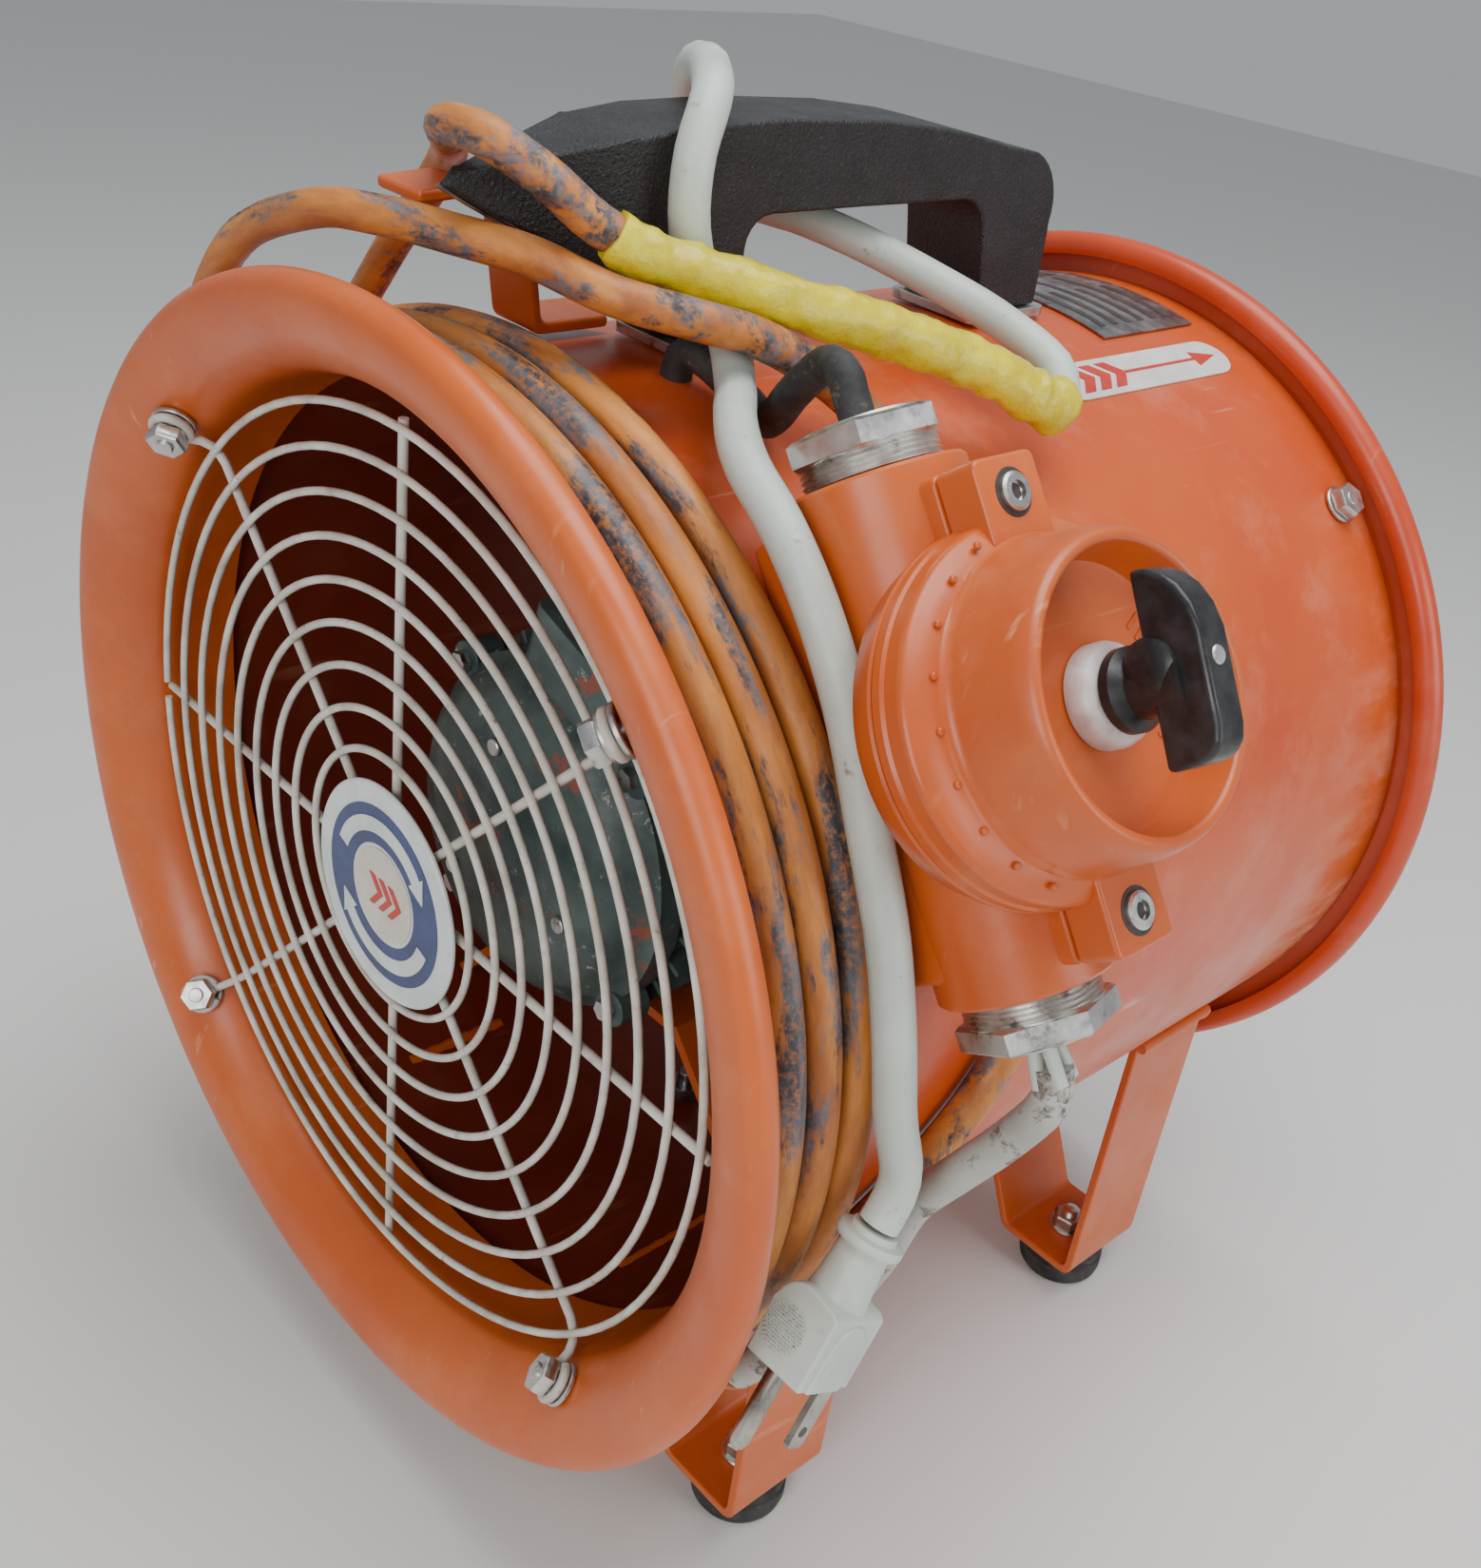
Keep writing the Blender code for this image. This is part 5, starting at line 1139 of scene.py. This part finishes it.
def make_motor():
    place = FAN @ Z_ALONG
    bm = bmesh.new()
    for k in range(30):
        turn = place @ Matrix.Rotation(math.radians(12 * k), 4, "Z")
        add_box(bm, (0.0490, -0.0009, 0.0760), (0.0570, 0.0009, 0.1790), turn)
    add_piece("motor_fins", bm, "green_grey_paint", bevel=0.0004)
    bm = bmesh.new()
    add_revolve(bm, [(0.0465, 0.0750), (0.0500, 0.0750), (0.0500, 0.1800), (0.0465, 0.1800)], place, 96)
    add_piece("motor_barrel", bm, "green_grey_paint", ["motor_shell"])
    bm = bmesh.new()
    front = [(0, 0.0505), (0.0100, 0.0505), (0.0112, 0.0513), (0.0210, 0.0515), (0.0340, 0.0522),
             (0.0420, 0.0545), (0.0475, 0.0590), (0.0497, 0.0640), (0.0530, 0.0660), (0.0530, 0.0740),
             (0.0500, 0.0747), (0.0455, 0.0747), (0, 0.0747)]
    add_revolve(bm, front, place, 96, False)
    lugs = [place @ Matrix.Rotation(math.radians(angle), 4, "Z") @ Matrix.Translation((0.0540, 0, 0))
            for angle in BOLT_ANGLES]
    for lug in lugs:
        add_disc(bm, 0.0060, 0.0640, 0.0745, lug, 32)
    add_piece("motor_front_dome", bm, "green_grey_paint", ["motor_front_cover"])
    bm = bmesh.new()
    for lug in lugs:
        add_hexagon(bm, 0.0060, 0.0610, 0.0640, lug)
    for angle in (20, 140, 260):
        spot = place @ Matrix.Rotation(math.radians(angle), 4, "Z") @ Matrix.Translation((0.0300, 0, 0))
        add_disc(bm, 0.0026, 0.0506, 0.0519, spot, 24)
    add_piece("motor_cover_screws", bm, "zinc")
    bm = bmesh.new()
    rear = [(0.0500, 0.1803), (0.0520, 0.1830), (0.0520, 0.1880), (0.0480, 0.1930), (0.0420, 0.1980),
            (0.0300, 0.2005), (0.0200, 0.2020), (0.0064, 0.2020), (0.0064, 0.1970), (0.0152, 0.1970),
            (0.0152, 0.1880), (0.0190, 0.1880), (0.0190, 0.1950), (0.0400, 0.1910), (0.0455, 0.1870),
            (0.0455, 0.1803)]
    add_revolve(bm, rear, place, 96)
    add_piece("motor_rear_dome", bm, "green_grey_paint", ["motor_rear_cover"])
    box = radial(72, 0.0740, 0)
    bm = bmesh.new()
    add_prism(bm, rounded(rectangle(0.0180, 0.0200), 0.0035), 0.0555, 0.0725, box)
    add_prism(bm, rounded(rectangle(0.0185, 0.0205), 0.0035), 0.0727, 0.0762, box)
    gland = box @ Matrix.Translation((0, -0.0080, 0))
    add_hexagon(bm, 0.0160, 0.0762, 0.0800, gland)
    add_disc(bm, 0.0080, 0.0800, 0.0900, gland, 40, 0.0012, 0.0044)
    add_piece("motor_terminal_case", bm, "green_grey_paint", ["terminal_box"],
              bevel=0.0005)
    bm = bmesh.new()
    spot = FAN @ Matrix.Translation((0, 0.1380, 0)) @ Matrix.Rotation(math.radians(180), 4, "Y")
    add_hexagon(bm, 0.0110, 0.1290, 0.1345, spot)
    add_disc(bm, 0.0030, 0.1240, 0.1350, spot, 24)
    add_piece("cradle_nut", bm, "steel")


def make_impeller():
    """Six cambered, twisted sheet blades round a hub."""
    place = FAN @ Matrix.Translation((0, 0.2320, 0)) @ Z_ALONG
    bm = bmesh.new()
    profile = [(0.0066, -0.0180), (0.0235, -0.0180), (0.0260, -0.0160), (0.0260, 0.0160), (0.0235, 0.0178),
               (0.0120, 0.0178), (0.0110, 0.0160), (0.0066, 0.0160)]
    add_revolve(bm, profile, place, 72)
    for k in range(6):
        turn = place @ Matrix.Rotation(math.radians(60 * k), 4, "Z")
        rows = []
        for step in range(13):
            t = step / 12
            radius = 0.0245 + 0.1050 * t
            chord = 0.0400 + 0.0100 * t - 0.012 * max(0, t - 0.85)
            pitch = math.radians(46 - 14 * t)
            row = []
            for c in range(9):
                s = c / 8 - 0.5
                camber = 0.0040 * (1 - 4 * s * s)
                x = chord * s
                row.append(turn @ Vector((radius, x * math.cos(pitch) - camber * math.sin(pitch),
                                          x * math.sin(pitch) + camber * math.cos(pitch))))
            rows.append(row)
        sheet = [[bm.verts.new(p) for p in row] for row in rows]
        back = [[bm.verts.new(p + Vector((0, 0.0016, 0))) for p in row] for row in rows]
        for grid in (sheet, back):
            for a, b in zip(grid, grid[1:]):
                for c in range(8):
                    bm.faces.new((a[c], a[c + 1], b[c + 1], b[c]))
        edge = [[(r, 0) for r in range(13)], [(r, 8) for r in range(13)], [(0, c) for c in range(9)],
                [(12, c) for c in range(9)]]
        for line in edge:
            for (r, c), (rr, cc) in zip(line, line[1:]):
                bm.faces.new((sheet[r][c], sheet[rr][cc], back[rr][cc], back[r][c]))
    add_piece("fan_blades", bm, "red_paint", ["impeller"], "rotor")


# ---------------------------------------------------------------- switch box

SPLIT = 0.1820
OUT = SWITCH @ OUTWARD
LUG_Y = (-0.0080, 0.0110)
SCREW = (0.0015, 0.0440)
CUP_EDGE = 0.0355
FLANGE_DRAW = 0.10
FLANGE_BLEND = 0.0025


def add_lugs(bm, low, high):
    for side in (1, -1):
        near, far = sorted((side * 0.0330, side * 0.0520))
        outline = rounded([(LUG_Y[0], near), (LUG_Y[1], near), (LUG_Y[1], far), (LUG_Y[0], far)], 0.0022)
        add_prism(bm, outline, low, high, SWITCH @ ON_YZ)


def flatten_flange(bm):
    """Narrow a round body along the neck, leaving the cup inside it round."""
    back = SWITCH.inverted()
    for vert in bm.verts:
        local = back @ vert.co
        beyond = math.hypot(local.y, local.z) - CUP_EDGE
        local.z *= 1 - FLANGE_DRAW * min(1.0, max(0.0, beyond / FLANGE_BLEND))
        vert.co = SWITCH @ local


def make_switch_base():
    bm = bmesh.new()
    dome = [(0, SPLIT - 0.0003), (0.0446, SPLIT - 0.0003), (0.0450, SPLIT - 0.0010), (0.0446, 0.1795),
            (0.0424, 0.1740), (0.0378, 0.1690), (0.0310, 0.1645), (0.0240, 0.1610), (0.0200, 0.1560),
            (0, 0.1560)]
    add_revolve(bm, dome, OUT, 96, False)
    flatten_flange(bm)
    add_piece("switch_dome", bm, "orange_paint", ["switch_base"])
    bm = bmesh.new()
    neck = SWITCH @ Matrix.Translation((NECK_X, 0, 0))
    profile = [(0.0095, -0.0570), (0.0192, -0.0570), (0.0200, -0.0562), (0.0200, -0.0500), (0.0203, -0.0400),
               (0.0208, 0.0), (0.0203, 0.0400), (0.0200, 0.0500), (0.0200, 0.0562), (0.0192, 0.0570),
               (0.0095, 0.0570)]
    add_revolve(bm, profile, neck, 72)
    add_piece("switch_neck", bm, "orange_paint")
    bm = bmesh.new()
    add_box(bm, (0.1355, -0.0196, -0.0510), (0.1590, 0.0196, 0.0510), SWITCH)
    add_piece("switch_saddle", bm, "orange_paint", bevel=0.0020)
    bm = bmesh.new()
    add_lugs(bm, 0.1700, SPLIT - 0.0003)
    add_piece("switch_base_lugs", bm, "orange_paint", bevel=0.0009)


def make_switch_cover():
    bm = bmesh.new()
    profile = [(0.0446, SPLIT), (0.0450, SPLIT + 0.0004), (0.0450, 0.1845), (0.0444, 0.1852),
               (0.0444, 0.1885)]
    profile += arc((0.0424, 0.1885), 0.0020, 0, 75, 5)
    profile += [(0.0420, 0.1910), (0.0395, 0.1920), (0.0372, 0.1924)]
    profile += arc((0.0372, 0.1949), 0.0025, 270, 188, 5)
    profile += [(0.0332, 0.2070), (0.0320, 0.2105), (0.0312, 0.2117), (0.0303, 0.2120), (0.0293, 0.2117),
                (0.0288, 0.2110), (0.0283, 0.2030), (0.0276, 0.2004), (0.0262, 0.2000), (0.0066, 0.2000),
                (0.0066, 0.1960), (0.0270, 0.1960), (0.0300, 0.1895), (0.0380, 0.1870), (0.0380, SPLIT)]
    add_revolve(bm, profile, OUT, 112)
    flatten_flange(bm)
    add_piece("switch_housing", bm, "orange_paint", ["switch_cover"])
    bm = bmesh.new()
    add_lugs(bm, SPLIT, 0.1928)
    add_piece("switch_cover_lugs", bm, "orange_paint", bevel=0.0010)
    bm = bmesh.new()
    for angle in (62, 118, 242, 298):
        spot = OUT @ Matrix.Rotation(math.radians(angle), 4, "Z") @ Matrix.Translation((0.0205, 0, 0.2000))
        for k in (-1, 0, 1):
            add_box(bm, (-0.0024, 0.0030 * k - 0.0005, -0.0002), (0.0024, 0.0030 * k + 0.0005, 0.0004), spot)
    for k in range(9):
        turn = Matrix.Rotation(math.radians(200 + 16 * k), 4, "Z")
        spot = OUT @ turn @ Matrix.Translation((0.0378, 0, 0.1924))
        add_disc(bm, 0.0009, -0.0006, 0.0006, spot, 16)
    add_piece("switch_raised_marks", bm, "orange_paint", bevel=0.0002)


def make_cover_screws():
    for label, side in (("upper", 1), ("lower", -1)):
        spot = SWITCH @ Matrix.Translation((0, SCREW[0], side * SCREW[1])) @ OUTWARD
        # A dark disc round the sunk screw head: painted shade in the recess round it
        bm = bmesh.new()
        add_disc(bm, 0.0052, 0.1926, 0.1930, spot, 40, 0.0001)
        add_piece(f"screw_well_{label}", bm, "mark_dark")
        bm = bmesh.new()
        profile = [(0, 0.1931), (0.0021, 0.1931), (0.0021, 0.1943), (0.0035, 0.1943), (0.0041, 0.1938),
                   (0.0041, 0.1900), (0.0024, 0.1892), (0.0024, 0.1740), (0, 0.1740)]
        add_revolve(bm, profile, spot, 36, False)
        add_piece(f"cap_screw_{label}", bm, "zinc", [f"cover_screw_{label}"])
        # A dark hexagon at the foot of the screw's socket: painted shade inside the socket
        bm = bmesh.new()
        add_disc(bm, 0.0021, 0.1929, 0.1932, spot, 6, 0.0001)
        add_piece(f"screw_socket_{label}", bm, "mark_dark")


def make_boss():
    bm = bmesh.new()
    profile = [(0.0108, 0.2003), (0.0108, 0.2034), (0.0102, 0.2050), (0.0088, 0.2060), (0.0060, 0.2062),
               (0.0034, 0.2060), (0.0034, 0.1940), (0.0062, 0.1940), (0.0062, 0.2003)]
    add_revolve(bm, profile, OUT, 64)
    add_piece("shaft_boss", bm, "nylon", ["spindle_boss"])


def make_knob():
    bm = bmesh.new()
    collar = [(0.0034, 0.2063), (0.0080, 0.2063), (0.0086, 0.2070), (0.0086, 0.2092), (0.0078, 0.2100),
              (0.0064, 0.2112), (0.0060, 0.2150), (0.0060, 0.2230), (0, 0.2240), (0, 0.2160),
              (0.0034, 0.2160)]
    add_revolve(bm, collar, OUT, 64, False)
    add_piece("knob_collar", bm, "knob_plastic", ["switch_knob"], "knob")
    low, high = 0.2155, 0.2290
    outline = [(0.0220, low), (0.0216, 0.2190), (0.0200, 0.2225), (0.0172, 0.2255), (0.0130, 0.2278),
               (0.0080, high), (0.0030, high), (-0.0100, high), (-0.0135, 0.2283), (-0.0158, 0.2262),
               (-0.0168, 0.2230), (-0.0172, low)]
    lean = Matrix.Rotation(math.radians(-8), 4, "X")
    stand = SWITCH @ lean @ ON_ZX
    bm = bmesh.new()
    add_prism(bm, outline, -0.0043, 0.0043, stand)
    add_piece("knob_paddle", bm, "knob_plastic", (), "knob", bevel=0.0013, angle=30)
    bm = bmesh.new()
    for side in (1, -1):
        turn = Matrix.Rotation(math.radians(90 - 90 * side), 4, "X")
        spot = stand @ Matrix.Translation((0.0028, 0.2165, 0)) @ turn
        hub = [(0, 0.0062), (0.0046, 0.0060), (0.0060, 0.0050), (0.0064, 0.0036), (0, 0.0036)]
        add_revolve(bm, hub, spot, 48, False)
    add_piece("knob_hub", bm, "knob_plastic", (), "knob")
    bm = bmesh.new()
    spot = SWITCH @ lean @ Matrix.Translation((0, 0, 0.0028)) @ OUTWARD
    add_disc(bm, 0.0019, 0.2286, 0.2293, spot, 32)
    add_piece("knob_screw", bm, "zinc", (), "knob")


def make_glands():
    for label, side in (("upper", 1), ("lower", -1)):
        flip = Matrix.Identity(4) if side > 0 else Matrix.Rotation(math.pi, 4, "X")
        place = SWITCH @ Matrix.Translation((NECK_X, 0, 0)) @ flip
        bm = bmesh.new()
        threads = [(0.0056, 0.0480), (0.0090, 0.0480), (0.0090, 0.0573), (0.0150, 0.0573)]
        for k in range(4):
            threads += [(0.0158, 0.0577 + 0.0012 * k), (0.0151, 0.0583 + 0.0012 * k)]
        threads += [(0.0158, 0.0624), (0.0158, 0.0640), (0.0056, 0.0640)]
        add_revolve(bm, threads, place, 72)
        add_hexagon(bm, 0.0317, 0.0622, 0.0685, place, 0.0008, 12)
        collar = [(0.0056, 0.0640), (0.0140, 0.0685), (0.0135, 0.0692), (0.0064, 0.0692), (0.0056, 0.0686)]
        add_revolve(bm, collar, place, 72)
        add_piece(f"gland_nut_{label}", bm, "zinc", [f"gland_{label}"])
    place = SWITCH @ Matrix.Translation((NECK_X, 0, 0)) @ Matrix.Rotation(math.pi, 4, "X")
    bm = bmesh.new()
    for dx, dy in ((0.0030, 0.0024), (-0.0024, 0.0034), (0.0006, -0.0040)):
        core = [place @ Vector((dx * (0.5 + 0.3 * t), dy * (0.5 + 0.3 * t), 0.0660 + 0.0080 * t))
                for t in (0, 0.5, 1, 1.5, 1.8)]
        add_tube(bm, core, 0.0017, 12)
    add_piece("supply_cores", bm, "white_cable")


# ---------------------------------------------------------------- everything

def finish_cad_nodes():
    """Give every CAD node the finish of its slot."""
    slots = {entry["node"]: entry["material_slot"] for entry in frame["record"]["subparts"]}
    for node, item in frame["nodes"].items():
        item.data.materials.clear()
        item.data.materials.append(MATERIALS[slots[node]])


add_camera()
add_studio()
finish_cad_nodes()
make_cables()
make_bell()
make_drum()
make_outlet()
make_front_guard()
make_rear_guard()
make_guard_bolts()
make_badge()
make_legs()
make_handle()
make_handle_fixings()
make_labels()
make_motor()
make_impeller()
make_switch_base()
make_switch_cover()
make_cover_screws()
make_boss()
make_knob()
make_glands()
